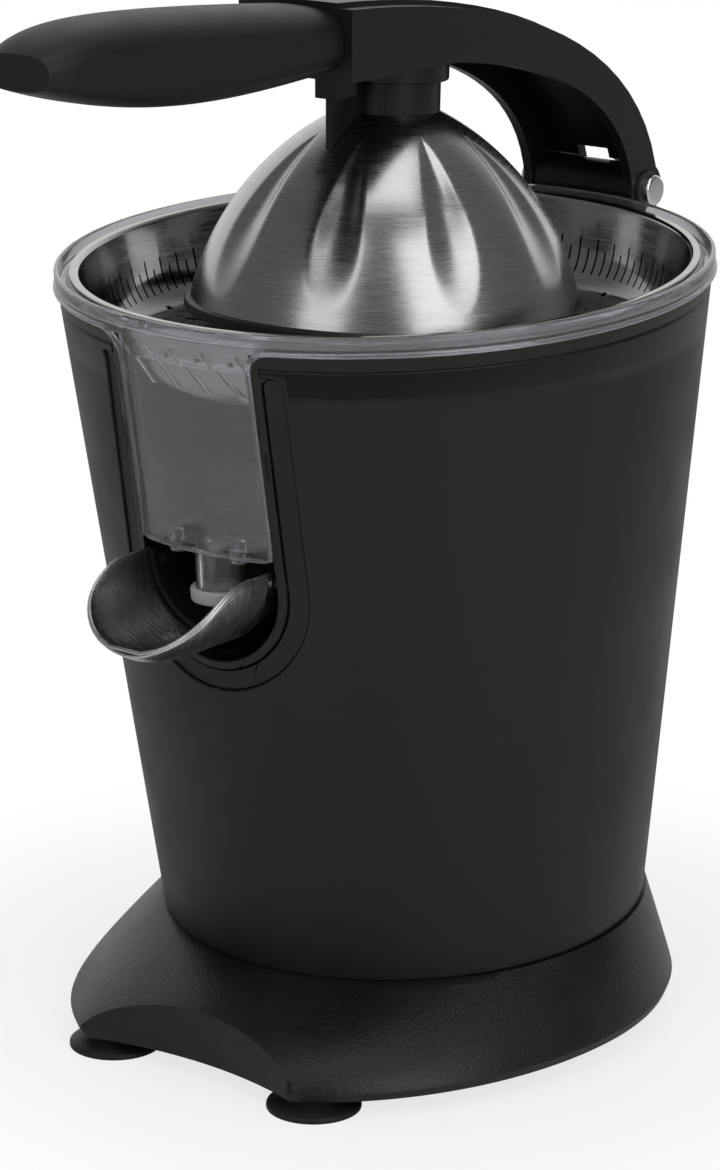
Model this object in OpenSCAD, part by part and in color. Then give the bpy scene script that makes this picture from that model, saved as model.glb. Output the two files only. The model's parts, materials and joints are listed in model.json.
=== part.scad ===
// Citrus press juicer: a leaning bucket body on a flared base, with a clear juice
// collector, a slotted strainer and a ribbed reamer under a fluted dome on a lever arm.
// Millimetres, +Z up. The origin is on the counter, where the drive axis meets it.
// The spout faces -Y and the lever arm pivots behind the rim, at +Y.

/* [Bucket] */
// Forward lean of the bucket and its drive axis, degrees
lean = 3; // [1:0.5:5]
// Outer radius of the clear rim
rim_r = 95; // [93:1:100]
// Height of the clear rim along the drive axis
rim_z = 227; // [222:1:235]
// Radius of the body shell at its foot
shell_foot_r = 72; // [70:0.5:74]
// Height of the body shell's foot along the drive axis
shell_foot_z = 32; // [30:0.5:34]
// Wall of the body shell
shell_wall = 2.5; // [2:0.1:3]
// Height of the trim ring between the shell and the rim
trim_h = 4; // [3:0.5:6]
// Height of the rim's upright lip
rim_lip_h = 6; // [5:0.5:8]
// Wall of the clear collector
collector_wall = 2; // [1.6:0.1:2.4]

/* [Spout bay] */
// Width of the U-shaped opening in the surround
opening_w = 52; // [50:0.5:54]
// Height of the centre of the opening's round bottom
opening_z = 151.5; // [150:0.5:153]
// Width of the textured surround around the opening
surround_w = 6.2; // [5:0.2:8]
// Width of the bezel inside the surround
bezel_w = 2.6; // [2.2:0.1:3]
// Depth of the bezel behind the shell's face
bezel_depth = 6; // [5:0.5:7]
// Depth of the bay behind the body's face
bay_depth = 29.6; // [28:0.2:31]
// Radius of the scoop-shaped spout
spout_r = 21.7; // [21:0.1:22]
// Sheet thickness of the spout
spout_t = 1; // [0.8:0.1:1.4]
// Distance of the centre of the spout's round end in front of the body
spout_out = 20.4; // [17:0.2:23]
// Upward pitch of the spout, degrees
spout_pitch = 3; // [0:0.5:4]
// Radius of the spout's pivot pins
spout_pin_r = 1.5; // [1.2:0.1:1.8]
// Inner radius of the juice nozzle
nozzle_r = 5.5; // [4.5:0.25:6]

/* [Strainer and reamer] */
// Sheet thickness of the strainer
strainer_t = 1; // [0.8:0.1:1.2]
// Depth of the strainer's wall below its rim
strainer_depth = 25; // [20:1:26]
// Radius of the reamer at its foot
reamer_r = 34; // [30:1:36]
// Height of the reamer cone
reamer_h = 42; // [38:1:44]
// Number of ribs on the reamer
reamer_ribs = 8; // [6:1:12]

/* [Dome and arm] */
// Radius of the dome at its foot
dome_r = 56; // [53:0.5:57]
// Height of the dome below its neck
dome_h = 54.2; // [53:0.2:56]
// Radius of the arc that shapes the dome
dome_arc_r = 78; // [77:0.5:80]
// Sheet thickness of the dome
dome_t = 1; // [0.8:0.1:1.2]
// Radius of the neck that carries the dome
neck_r = 14.2; // [13.5:0.1:15]
// Height of the arm's collar above the dome's rim
collar_low = 63.2; // [62:0.2:65]
// Height of the collar under the arm
collar_h = 9; // [8:0.5:10]
// Backward lean of the dome's axis in its resting place, degrees
dome_tilt = 2.3; // [1:0.1:3]
// Width of the lever arm
arm_w = 40; // [38:0.5:42]
// Wall of the lever arm's channel
arm_wall = 3.2; // [3:0.1:3.6]
// Length of the grip from its seam to its tip
grip_l = 112; // [104:1:118]
// Width of the grip
grip_w = 37; // [34:0.5:38]
// Wall of the soft sleeve over the grip's core
grip_wall = 4; // [3:0.5:5]
// Radius of the hinge pin
hinge_pin_r = 4; // [3.5:0.25:4.5]
// Distance of the hinge's axis behind the rim
hinge_back = 9; // [8.5:0.5:12]
// Travel of the release button
button_travel = 2; // [1.5:0.5:2.5]

/* [Base] */
// Reach of the base beyond the bucket's foot, to each side
base_flare_x = 12.5; // [11:0.5:15]
// Reach of the base beyond the bucket's foot, at the front
base_flare_front = 32; // [28:1:34]
// Reach of the base beyond the bucket's foot, at the rear
base_flare_rear = 20; // [16:1:24]
// Radius of the hollow in the front edge
bite_r = 125; // [115:5:140]
// Gap between the base and the counter
ground_gap = 5.5; // [5:0.5:7]
// Wall of the base skirt
skirt_wall = 3; // [2.5:0.1:3.5]
// Radius of a suction foot
foot_r = 13.5; // [12:0.5:14.5]
// Half distance between the front feet
foot_x = 37; // [35:0.5:38]
// Radius of the cord inlet
cord_r = 3.6; // [3:0.1:4]

/* [Drive] */
// Radius of the drive shaft
shaft_r = 4; // [3.5:0.25:4.5]
// Travel of the drive shaft that works the switch
press_travel = 2; // [1:0.25:2.5]
// Teeth on each pinion
pinion_teeth = 12; // [12:1:14]
// Teeth on each wheel
wheel_teeth = 48; // [44:1:50]
// Module of the motor's gear pair
fast_module = 1; // [0.95:0.05:1.1]
// Module of the drive shaft's gear pair
slow_module = 1.25; // [1.2:0.05:1.3]
// Radius of the motor can
motor_r = 28; // [26:0.5:29]
// Length of the motor can
motor_l = 56; // [50:1:58]

/* [Clearances] */
// Radial clearance of turning shafts and pins
run_gap = 0.05; // [0.03:0.01:0.1]
// Gap between pieces that lift apart
lift_gap = 0.6; // [0.4:0.1:0.8]
// Gap between faces that move past each other
side_gap = 0.5; // [0.3:0.1:0.8]

/* [Hidden] */
$fn = 96;
// a cut runs this far past the face it opens
over = 1;

// ---- derived heights along the drive axis ----
rim_base_z = rim_z - rim_lip_h;
shell_top_z = rim_base_z - trim_h;
shell_top_r = rim_r - 1.9;
deck_z = 164;
deck_t = 3;
bowl_floor_z = 176;
pocket_floor_z = 160;
floor_t = 3;

// ---- the bucket's cone ----
function shell_r(s) =
    shell_foot_r
    + (shell_top_r - shell_foot_r) * (s - shell_foot_z) / (shell_top_z - shell_foot_z);

// the body's face at the mouth, and what follows it
mouth_r = shell_r(opening_z);
bay_back = mouth_r - bay_depth;
spout_reach = mouth_r + spout_out;
hinge_y = rim_r + hinge_back;

module bucket() {
    rotate([lean, 0, 0]) children();
}

// solid of the bucket's cone between two heights, drawn in by inset
module cone_part(inset, z0, z1) {
    translate([0, 0, z0]) cylinder(h = z1 - z0, r1 = shell_r(z0) - inset, r2 = shell_r(z1) - inset);
}

module tube(h, outer, inner) {
    difference() {
        cylinder(h = h, r = outer);
        translate([0, 0, -over]) cylinder(h = h + 2 * over, r = inner);
    }
}

module at(x, y, z) {
    translate([x, y, z]) children();
}

// a cylinder along X, centred
module rod_x(r, l) {
    rotate([0, 90, 0]) cylinder(h = l, r = r, center = true);
}

// a cylinder that points towards -Y from its origin
module rod_front(r, l) {
    rotate([90, 0, 0]) cylinder(h = l, r = r);
}

// ---- U-shaped outlines of the spout bay ----
opening_half = opening_w / 2;
bezel_half = opening_half - bezel_w;
surround_half = opening_half + surround_w;
surround_top_z = shell_top_z - 2.5;
surround_corner = 4;
surround_inset = 0.6;
bezel_inset = 0.2;
bay_half = bezel_half + side_gap;

module u_outline(half, top) {
    translate([0, opening_z]) circle(half);
    translate([-half, opening_z]) square([2 * half, top - opening_z]);
}

module u_prism(half, top) {
    rotate([90, 0, 0]) linear_extrude(rim_r + 10) u_outline(half, top);
}

// the surround's outline has rounded top corners
module surround_outline() {
    u_outline(surround_half, surround_top_z - surround_corner);
    translate([surround_corner - surround_half, opening_z])
        square([2 * (surround_half - surround_corner), surround_top_z - opening_z]);
    for (side = [-1, 1])
        translate([side * (surround_half - surround_corner), surround_top_z - surround_corner])
            circle(surround_corner);
}

module surround_prism() {
    rotate([90, 0, 0]) linear_extrude(rim_r + 10) surround_outline();
}

// ---- base ----
base_centre_y = -12;
base_rx = shell_foot_r + base_flare_x;
base_front = shell_foot_r + base_flare_front;
base_rear = shell_foot_r + base_flare_rear;
bite_depth = 18.5;
bite_edge_y = base_centre_y - base_front + bite_depth;
base_edge_z = 8;
// the skirt turns in under its edge by this much
base_tuck = 1;
flare_steps = 7;
// the hollow's roof stands this much lower than the flare at the seat
roof_drop = 2;
base_sides = 72;
floor_plate_t = 3;

// half a footprint ellipse at the front and another at the rear
function foot_point(a, inset) = [
    (base_rx - inset) * cos(a),
    base_centre_y + ((sin(a) > 0 ? base_rear : base_front) - inset) * sin(a),
    0
];

// the leaning circle where the skirt meets the body
function seat_point(a, inset) = let (r = shell_foot_r + 1 - inset) [
    r * cos(a),
    r * sin(a) * cos(lean) - shell_foot_z * sin(lean),
    r * sin(a) * sin(lean) + shell_foot_z * cos(lean)
];

// the flare, t = 0 at the edge and t = 1 at the seat: full at the front, straight at the rear
function flare_power(a) = 0.54 + 0.46 * sqrt((1 + sin(a)) / 2);
function flare_point(a, t, inset, low, drop) =
    let (f = foot_point(a, inset), s = seat_point(a, inset), u = pow(t, 1.4))
    [
        f[0] + (s[0] - f[0]) * u,
        f[1] + (s[1] - f[1]) * u,
        low + (s[2] - drop - low) * pow(u, flare_power(a))
    ];

// stacked rings of the skirt: a straight edge band, then the flare
function skirt_rings(inset, low, edge, high, drop) = concat(
    [for (i = [0 : base_sides - 1])
        let (p = foot_point(i * 360 / base_sides, inset + base_tuck)) [p[0], p[1], low]],
    [for (j = [0 : flare_steps], i = [0 : base_sides - 1])
        flare_point(i * 360 / base_sides, j / flare_steps, inset, edge, drop)],
    [for (i = [0 : base_sides - 1])
        let (p = seat_point(i * 360 / base_sides, inset)) p + [0, 0, high]]
);

function ring_faces(levels) = concat(
    [[for (i = [0 : base_sides - 1]) i]],
    [for (j = [0 : levels - 2], i = [0 : base_sides - 1])
        let (n = (i + 1) % base_sides, a = j * base_sides, b = a + base_sides)
        [a + i, b + i, b + n]],
    [for (j = [0 : levels - 2], i = [0 : base_sides - 1])
        let (n = (i + 1) % base_sides, a = j * base_sides, b = a + base_sides)
        [a + i, b + n, a + n]],
    [[for (i = [base_sides - 1 : -1 : 0]) (levels - 1) * base_sides + i]]
);

module skirt_solid(inset, low, edge, high, drop) {
    polyhedron(skirt_rings(inset, low, edge, high, drop), ring_faces(flare_steps + 3), convexity = 4);
}

module bite(grow) {
    translate([0, bite_edge_y - bite_r, -over]) cylinder(h = 50, r = bite_r + grow, $fn = 192);
}

// feet stand in from the base's edge
foot_front_y = base_centre_y - base_front + 24.5;
foot_rear_x = base_rx - 40.5;
foot_rear_y = base_centre_y + base_rear - 38;
foot_places = [
    [-foot_x, foot_front_y], [foot_x, foot_front_y],
    [-foot_rear_x, foot_rear_y], [foot_rear_x, foot_rear_y]
];
foot_stem_r = 3.5;
screw_places = [for (s = [-1, 1])
    each [
        [s * (base_rx - 25.5), base_centre_y - base_front + 66],
        [s * (base_rx - 17.5), base_centre_y + base_rear - 58]
    ]];
screw_r = 1.6;
screw_head_r = 3.2;
screw_head_h = 1.8;
screw_l = 14;
boss_r = 5.5;
boss_h = 18;
plate_t = 3;
plate_gap = 0.3;
gland_z = 18;
gland_y = base_centre_y + base_rear - 8;
gland_r = 6;
gland_flange_r = 8;
gland_l = 14;

module base_skirt() {
    color("#161617") difference() {
        union() {
            difference() {
                skirt_solid(0, ground_gap, base_edge_z, 0, 0);
                bite(0);
                difference() {
                    skirt_solid(skirt_wall, ground_gap - over, base_edge_z, over, roof_drop);
                    bite(skirt_wall);
                }
            }
            // screw bosses hang from the inside of the flare
            intersection() {
                skirt_solid(skirt_wall / 2, ground_gap, base_edge_z, 0, roof_drop / 2);
                for (p = screw_places)
                    at(p[0], p[1], ground_gap + plate_t) cylinder(h = boss_h, r = boss_r);
            }
            // pad behind the cord gland
            at(0, gland_y + 4, gland_z) rod_front(gland_flange_r + 1.2, 7);
        }
        for (p = screw_places)
            at(p[0], p[1], 0) cylinder(h = ground_gap + screw_l, r = screw_r);
        // hole and flat seat of the cord gland
        at(0, gland_y, gland_z) rotate([90, 0, 0]) cylinder(h = 30, r = gland_r, center = true);
        at(0, gland_y + 14, gland_z) rotate([90, 0, 0]) cylinder(h = 10, r = gland_flange_r + 0.3);
    }
}

module base_plate() {
    color("#1b1b1c") difference() {
        at(0, 0, ground_gap)
            linear_extrude(plate_t)
                polygon([for (i = [0 : base_sides - 1])
                    let (p = foot_point(i * 360 / base_sides, skirt_wall + base_tuck + plate_gap))
                    [p[0], p[1]]]);
        bite(skirt_wall + plate_gap);
        for (p = foot_places) at(p[0], p[1], 0) cylinder(h = 20, r = foot_stem_r);
        for (p = screw_places) {
            at(p[0], p[1], 0) cylinder(h = 20, r = screw_r);
            at(p[0], p[1], 0) cylinder(h = ground_gap + screw_head_h, r = screw_head_r);
        }
    }
}

module base_screws() {
    color("#8a8c8f")
        for (p = screw_places)
            at(p[0], p[1], ground_gap) difference() {
                union() {
                    cylinder(h = screw_head_h, r = screw_head_r);
                    cylinder(h = screw_l, r = screw_r);
                }
                at(0, 0, -over) cylinder(h = over + 1, r = 1.4, $fn = 6);
            }
}

// suction cups with a stem that plugs into the base plate
module suction_feet() {
    color("#101011")
        for (p = foot_places)
            at(p[0], p[1], 0) difference() {
                union() {
                    rotate_extrude() polygon([
                        [0, 0], [foot_r, 0], [foot_r, 1.4], [foot_r - 4.5, 3.6],
                        [7.5, ground_gap], [0, ground_gap]
                    ]);
                    cylinder(h = ground_gap + plate_t, r = foot_stem_r);
                    at(0, 0, ground_gap + plate_t) cylinder(h = 1.5, r1 = foot_stem_r + 1, r2 = foot_stem_r);
                }
                at(0, 0, -over) cylinder(h = over + 1.6, r1 = foot_r - 2, r2 = foot_r - 4);
            }
}

module cord_gland() {
    color("#0e0e0f")
        at(0, gland_y + 6, gland_z) rotate([90, 0, 0]) difference() {
            union() {
                cylinder(h = gland_l, r = gland_r);
                cylinder(h = 2, r = gland_flange_r);
            }
            at(0, 0, -over) cylinder(h = gland_l + 2 * over, r = cord_r);
        }
}

// ---- body ----
pillar_r = 4.5;
pillar_places = [[-46, -18], [46, -34], [-30, 46], [10, 62]];
chassis_z = 110;
chassis_t = 4;

module body_floor() {
    color("#202022") bucket() difference() {
        union() {
            cone_part(shell_wall, shell_foot_z, shell_foot_z + floor_plate_t);
            for (p = pillar_places)
                at(p[0], p[1], shell_foot_z) cylinder(h = chassis_z - shell_foot_z, r = pillar_r);
        }
        // the cord's way up from the base
        at(0, 50, shell_foot_z - over) cylinder(h = floor_plate_t + 2 * over, r = 6);
    }
}

module body_shell() {
    color("#1d1d1f") bucket() difference() {
        cone_part(0, shell_foot_z, shell_top_z);
        cone_part(shell_wall, shell_foot_z - over, shell_top_z + over);
        surround_prism();
        u_prism(opening_half, rim_z);
        for (z = bracket_screw_z)
            at(0, rim_r, z) rod_front(screw_r, 30);
    }
}

module trim_ring() {
    color("#151516") bucket() difference() {
        at(0, 0, shell_top_z) cylinder(h = trim_h, r1 = shell_top_r, r2 = rim_r - 1);
        at(0, 0, shell_top_z - over) cylinder(h = trim_h + 2 * over, r = bowl_outer_r(rim_base_z) + lift_gap);
        u_prism(opening_half, rim_z);
    }
}

module spout_surround() {
    color("#141415") bucket() difference() {
        intersection() {
            difference() {
                cone_part(surround_inset, opening_z - 60, shell_top_z);
                cone_part(shell_wall, opening_z - 60 - over, shell_top_z + over);
            }
            surround_prism();
        }
        u_prism(opening_half, rim_z);
    }
}

module spout_bezel() {
    color("#0f0f10") bucket() difference() {
        intersection() {
            difference() {
                cone_part(bezel_inset, opening_z - 60, rim_base_z);
                cone_part(bezel_depth, opening_z - 60 - over, pocket_floor_z);
                cone_part(shell_wall, pocket_floor_z - over, rim_base_z + over);
            }
            u_prism(opening_half, rim_base_z);
        }
        u_prism(bezel_half, rim_z);
        at(0, -spout_pivot_y, spout_pivot_z) rod_x(spout_pin_r, 4 * spout_r);
    }
}

// dark tub behind the opening; the spout tips inside it
bay_wall = opening_half - bay_half;
module spout_bay() {
    color("#0a0a0b") bucket() difference() {
        intersection() {
            cone_part(bezel_depth, opening_z - 60, deck_z);
            u_prism(opening_half, rim_z);
            at(-opening_half, -rim_r, opening_z - 60) cube([opening_w, rim_r - bay_back + bay_wall, 100]);
        }
        intersection() {
            u_prism(bay_half, rim_z);
            at(-bay_half, -rim_r - over, opening_z - 60) cube([2 * bay_half, rim_r - bay_back + over, 100]);
        }
    }
}

// ---- pouring spout: a steel lip on a dark carrier that tips on two pins ----
spout_axis_z = 157;
spout_pivot_y = mouth_r - 6.13;
spout_pivot_z = 153.5;
spout_front_y = mouth_r - 2.63;
spout_lip_drop = 32;
carrier_back_y = mouth_r - 23.63;
carrier_t = 1.5;
ear_r = 3.2;

module spout_frame() {
    bucket() at(0, -spout_front_y, spout_axis_z) rotate([-spout_pitch, 0, 0]) children();
}

module spout_shell(r) {
    length = spout_reach - spout_front_y;
    at(0, over, 0) rod_front(r, length + over);
    at(0, -length, 0) sphere(r = r);
}

module pouring_spout() {
    color("#b9babc") spout_frame() difference() {
        spout_shell(spout_r);
        spout_shell(spout_r - spout_t);
        // open back
        at(-rim_r, 0, -rim_r) cube([2 * rim_r, rim_r, 2 * rim_r]);
        // level edge at the ears, then the edge drops to the lip
        at(-rim_r, -rim_r, 0) cube([2 * rim_r, 2 * rim_r, rim_r]);
        at(-rim_r, spout_front_y - spout_reach, 0)
            rotate([spout_lip_drop, 0, 0])
                at(0, -2 * spout_r, 0) cube([2 * rim_r, 2 * spout_r, rim_r]);
    }
}

module carrier_ear_rods(r, l) {
    for (side = [-1, 1])
        at(side * (spout_r - l / 2), -spout_pivot_y, spout_pivot_z) rod_x(r, l);
}

module spout_carrier() {
    color("#0d0d0e") bucket() difference() {
        union() {
            difference() {
                at(0, -carrier_back_y, spout_axis_z) rod_front(spout_r, spout_front_y - carrier_back_y);
                at(0, -carrier_back_y - carrier_t, spout_axis_z) rod_front(spout_r - carrier_t, rim_r);
                at(-rim_r, -2 * rim_r, spout_axis_z) cube([2 * rim_r, 2 * rim_r, rim_r]);
            }
            carrier_ear_rods(ear_r, carrier_t);
        }
        // the steel lip leans into the carrier's mouth
        spout_cut();
        at(0, -spout_pivot_y, spout_pivot_z) rod_x(spout_pin_r + run_gap, 4 * spout_r);
    }
}

// space of the steel lip, which starts at the carrier's mouth
module spout_cut() {
    at(0, -spout_front_y, spout_axis_z) rotate([-spout_pitch, 0, 0])
        at(-rim_r, -rim_r, -rim_r) cube([2 * rim_r, rim_r, 2 * rim_r]);
}

module spout_pins() {
    color("#9a9b9d") bucket()
        for (side = [-1, 1])
            at(side * (opening_half + spout_r - carrier_t) / 2, -spout_pivot_y, spout_pivot_z)
                rod_x(spout_pin_r, opening_half - spout_r + carrier_t);
}

// ---- juice collector ----
bowl_low_r = shell_r(bowl_floor_z) - shell_wall - 1.42;
bowl_high_r = rim_r - 4.3;
function bowl_outer_r(s) =
    bowl_low_r + (bowl_high_r - bowl_low_r) * (s - bowl_floor_z) / (rim_z - bowl_floor_z);
rim_t = 2;
rim_lip_t = 1.6;
well_h = 26;
well_r = shaft_r + 2;
pocket_half = bezel_half - 0.5;
window_inset = 1;
window_t = 2.2;
nozzle_y = mouth_r - 7.63;
nozzle_l = 14;
nozzle_wall = 1.5;
window_top_z = rim_base_z - 6;

module bowl_part(inset, z0, z1) {
    at(0, 0, z0) cylinder(h = z1 - z0, r1 = bowl_outer_r(z0) - inset, r2 = bowl_outer_r(z1) - inset);
}

// block of the front pocket, from its back wall out past the window
module pocket_block(half, back, low, high) {
    at(-half, -rim_r, low) cube([2 * half, rim_r - back, high - low]);
}

module juice_collector() {
    color("#cfcfe0", 0.35) bucket() difference() {
        union() {
            bowl_part(0, bowl_floor_z, strainer_rim_z);
            // rim gutter: plate and outer lip
            at(0, 0, rim_base_z) tube(rim_t, rim_r, bowl_high_r - 1.5);
            at(0, 0, rim_base_z) tube(rim_lip_h, rim_r, rim_r - rim_lip_t);
            // front pocket behind its window, and the nozzle
            intersection() {
                cone_part(window_inset, pocket_floor_z, rim_base_z);
                pocket_block(pocket_half, bay_back + over, pocket_floor_z, rim_base_z);
            }
            at(0, -nozzle_y, pocket_floor_z - nozzle_l)
                cylinder(h = nozzle_l + over, r = nozzle_r + nozzle_wall);
        }
        // inside of the bowl, around the shaft's well
        difference() {
            bowl_part(collector_wall, bowl_floor_z + floor_t, rim_z);
            cylinder(h = bowl_floor_z + well_h, r = well_r + collector_wall);
        }
        // inside of the pocket
        intersection() {
            cone_part(window_inset + window_t, pocket_floor_z, window_top_z);
            pocket_block(
                pocket_half - collector_wall, bay_back + over + collector_wall,
                pocket_floor_z + collector_wall, window_top_z
            );
        }
        cylinder(h = rim_z, r = well_r);
        at(0, -nozzle_y, pocket_floor_z - nozzle_l - over) cylinder(h = 40, r = nozzle_r);
    }
}

module nozzle_seal() {
    color("#d8d8da", 0.6) bucket()
        at(0, -nozzle_y, pocket_floor_z - nozzle_l - 1) difference() {
            cylinder(h = 4, r = nozzle_r + nozzle_wall + 1.7);
            at(0, 0, -over) cylinder(h = 6, r = nozzle_r - 0.5);
            at(0, 0, 1) cylinder(h = 4, r = nozzle_r + nozzle_wall);
        }
}

// ---- strainer ----
strainer_rim_r = bowl_high_r - 0.4;
strainer_rim_z = rim_z - 2;
strainer_top_r = bowl_high_r - collector_wall - lift_gap - 0.4;
strainer_floor_z = strainer_rim_z - strainer_depth;
strainer_low_r = bowl_outer_r(strainer_floor_z) - collector_wall - 1.42;
strainer_dish = 8;
strainer_eye_r = well_r + collector_wall + lift_gap + 3;
slot_count = 16;
slot_w = 1.6;
slot_in = 0.55 * strainer_low_r;
slot_l = 0.31 * strainer_low_r;
hole_ring_r = strainer_low_r - 8;
wall_slots = 40;
// slanting slots of the wall's front, each this many degrees from the next
front_slots = 9;
front_step = 7;
front_slant = 38;

module strainer_profile(t) {
    polygon([
        [strainer_top_r, strainer_rim_z], [strainer_low_r, strainer_floor_z],
        [strainer_eye_r, strainer_floor_z - strainer_dish],
        [strainer_eye_r, strainer_floor_z - strainer_dish + t],
        [strainer_low_r - t, strainer_floor_z + t], [strainer_top_r - t, strainer_rim_z]
    ]);
}

module strainer() {
    color("#a8a9ab") bucket() difference() {
        union() {
            rotate_extrude() strainer_profile(strainer_t);
            at(0, 0, strainer_rim_z) tube(strainer_t, strainer_rim_r, strainer_top_r - strainer_t);
            // the eye stands on the collector's well
            at(0, 0, bowl_floor_z + well_h)
                tube(strainer_t, strainer_eye_r, well_r + collector_wall - 1.5);
            at(0, 0, strainer_floor_z - strainer_dish)
                tube(bowl_floor_z + well_h + strainer_t - strainer_floor_z + strainer_dish,
                    strainer_eye_r, strainer_eye_r - strainer_t);
        }
        for (i = [0 : slot_count - 1])
            rotate([0, 0, i * 360 / slot_count]) {
                at(slot_in, 0, strainer_floor_z - 14) rotate([0, 0, 28]) linear_extrude(20) {
                    square([slot_l, slot_w]);
                    translate([0, slot_w / 2]) circle(slot_w / 2);
                    translate([slot_l, slot_w / 2]) circle(slot_w / 2);
                }
                rotate([0, 0, 180 / slot_count])
                    at(hole_ring_r, 0, strainer_floor_z - 14) cylinder(h = 20, r = 1.2);
            }
        for (i = [0 : wall_slots - 1])
            if (abs(i * 360 / wall_slots - 270) > (front_slots / 2 + 0.5) * front_step)
                rotate([0, 0, i * 360 / wall_slots])
                    at(strainer_low_r - 6, -0.5, strainer_floor_z + 7)
                        cube([10, 1, i % 2 == 0 ? 11 : 7]);
        for (i = [0 : front_slots - 1])
            rotate([0, 0, (i - (front_slots - 1) / 2) * front_step]) {
                at(0, 0, strainer_floor_z + strainer_depth / 2) rotate([0, front_slant, 0])
                    at(-0.6, -strainer_rim_r, -8) cube([1.2, 12, 16]);
                for (z = [-4, 4])
                    at(4, -strainer_rim_r + 12, strainer_floor_z + strainer_depth / 2 + z)
                        rod_front(0.9, 12);
            }
    }
}

// ---- reamer and drive shaft ----
reamer_z = bowl_floor_z + well_h + strainer_t + side_gap + press_travel;
shaft_top = reamer_z + 26;
shaft_low = chassis_z + 0.5;
key_w = 5;

module reamer() {
    color("#1f1f21") bucket() at(0, 0, reamer_z) difference() {
        union() {
            cylinder(h = 2, r = reamer_r + 4);
            at(0, 0, 2) cylinder(h = reamer_h - 7, r1 = reamer_r - 3, r2 = 5);
            at(0, 0, reamer_h - 6.5) sphere(r = 5.2);
            for (i = [0 : reamer_ribs - 1])
                rotate([0, 0, i * 360 / reamer_ribs])
                    at(0, 1, 0) rotate([90, 0, 0]) linear_extrude(2)
                        polygon([[0, 2], [reamer_r, 2], [reamer_r - 6, 14], [5, reamer_h], [0, reamer_h]]);
        }
        at(0, 0, -over) cylinder(h = shaft_top - reamer_z - 2 + over, r = shaft_r);
        at(-key_w / 2, -key_w / 2, 0) cube([key_w, key_w, shaft_top - reamer_z]);
    }
}

module drive_shaft() {
    color("#c3c4c6") bucket() {
        at(0, 0, shaft_low) cylinder(h = shaft_top - 2 - shaft_low, r = shaft_r);
        at(-key_w / 2, -key_w / 2, shaft_top - 2) cube([key_w, key_w, 2]);
        // thrust collar above the sleeve
        at(0, 0, sleeve_top) tube(2, shaft_r + 3, shaft_r);
    }
}

// ---- gears: involute teeth as points of the involute, worked out by these functions ----
pressure_angle = 20;
addendum = 0.72;
dedendum = 1.15;
backlash = 0.16;
flank_steps = 4;

function deg(x) = x * 180 / PI;
function inv_angle(a) = deg(tan(a)) - a;
function pitch_r(m, n) = m * n / 2;
// half angle of a tooth at radius r
function tooth_half(m, n, r) =
    let (base = pitch_r(m, n) * cos(pressure_angle), a = acos(min(1, base / max(r, base))))
    90 / n - deg(backlash * m / (2 * pitch_r(m, n))) + inv_angle(pressure_angle) - inv_angle(a);
function polar(r, a) = [r * cos(a), r * sin(a)];
function tooth_points(m, n, i) =
    let (
        low = pitch_r(m, n) - dedendum * m,
        high = pitch_r(m, n) + addendum * m,
        base = max(pitch_r(m, n) * cos(pressure_angle), low + 0.01),
        c = i * 360 / n
    )
    concat(
        [polar(low, c - tooth_half(m, n, base))],
        [for (k = [0 : flank_steps])
            let (r = base + (high - base) * k / flank_steps) polar(r, c - tooth_half(m, n, r))],
        [for (k = [flank_steps : -1 : 0])
            let (r = base + (high - base) * k / flank_steps) polar(r, c + tooth_half(m, n, r))],
        [polar(low, c + tooth_half(m, n, base))]
    );

module gear(m, n, h, bore) {
    linear_extrude(h) difference() {
        polygon([for (i = [0 : n - 1]) each tooth_points(m, n, i)]);
        circle(bore);
    }
}

fast_distance = fast_module * (pinion_teeth + wheel_teeth) / 2;
slow_distance = slow_module * (pinion_teeth + wheel_teeth) / 2;
motor_angle = -30;
cluster_y = slow_distance;
motor_x = fast_distance * cos(motor_angle);
motor_y = cluster_y + fast_distance * sin(motor_angle);
fast_z = chassis_z + chassis_t + 2;
fast_h = 7;
slow_z = fast_z + fast_h + 1.5;
slow_h = 9;
slow_pinion_h = slow_h + press_travel + 1;
axle_r = 2.5;
rotor_shaft_r = 2;

module output_gear() {
    color("#e4e2da") bucket()
        at(0, 0, slow_z + press_travel)
            rotate([0, 0, 90]) gear(slow_module, wheel_teeth, slow_h, shaft_r);
}

// wheel and pinion in one piece, turning on a fixed axle
module cluster_gear() {
    color("#dedcd2") bucket() at(0, cluster_y, 0) difference() {
        union() {
            at(0, 0, fast_z)
                rotate([0, 0, motor_angle]) gear(fast_module, wheel_teeth, fast_h, axle_r);
            at(0, 0, fast_z + fast_h / 2)
                cylinder(h = slow_z - fast_z - fast_h / 2 + 1, r = pitch_r(slow_module, pinion_teeth) - 2);
            at(0, 0, slow_z)
                rotate([0, 0, -90 + 180 / pinion_teeth])
                    gear(slow_module, pinion_teeth, slow_pinion_h, axle_r);
        }
        at(0, 0, fast_z - over) cylinder(h = 60, r = axle_r + run_gap);
    }
}

module cluster_axle() {
    color("#b5b6b8") bucket()
        at(0, cluster_y, chassis_z) cylinder(h = cover_z + cover_t - chassis_z, r = axle_r);
}

module motor_pinion() {
    color("#b08d4a") bucket() at(motor_x, motor_y, fast_z)
        rotate([0, 0, motor_angle + 180 + 180 / pinion_teeth])
            gear(fast_module, pinion_teeth, fast_h, rotor_shaft_r);
}

// ---- gear case ----
chassis_r = 68;
cover_z = slow_z + slow_pinion_h + 1.5;
cover_t = 4;
sleeve_r = shaft_r + 4;
sleeve_flange_r = 13;
sleeve_low = cover_z - 2;
spring_h = 8;
sleeve_top = cover_z + cover_t + spring_h + 2;
bush_r = shaft_r + 3;
post_places = [[-40, 20], [-26, -36], [36, -30], [28, 58]];

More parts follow.
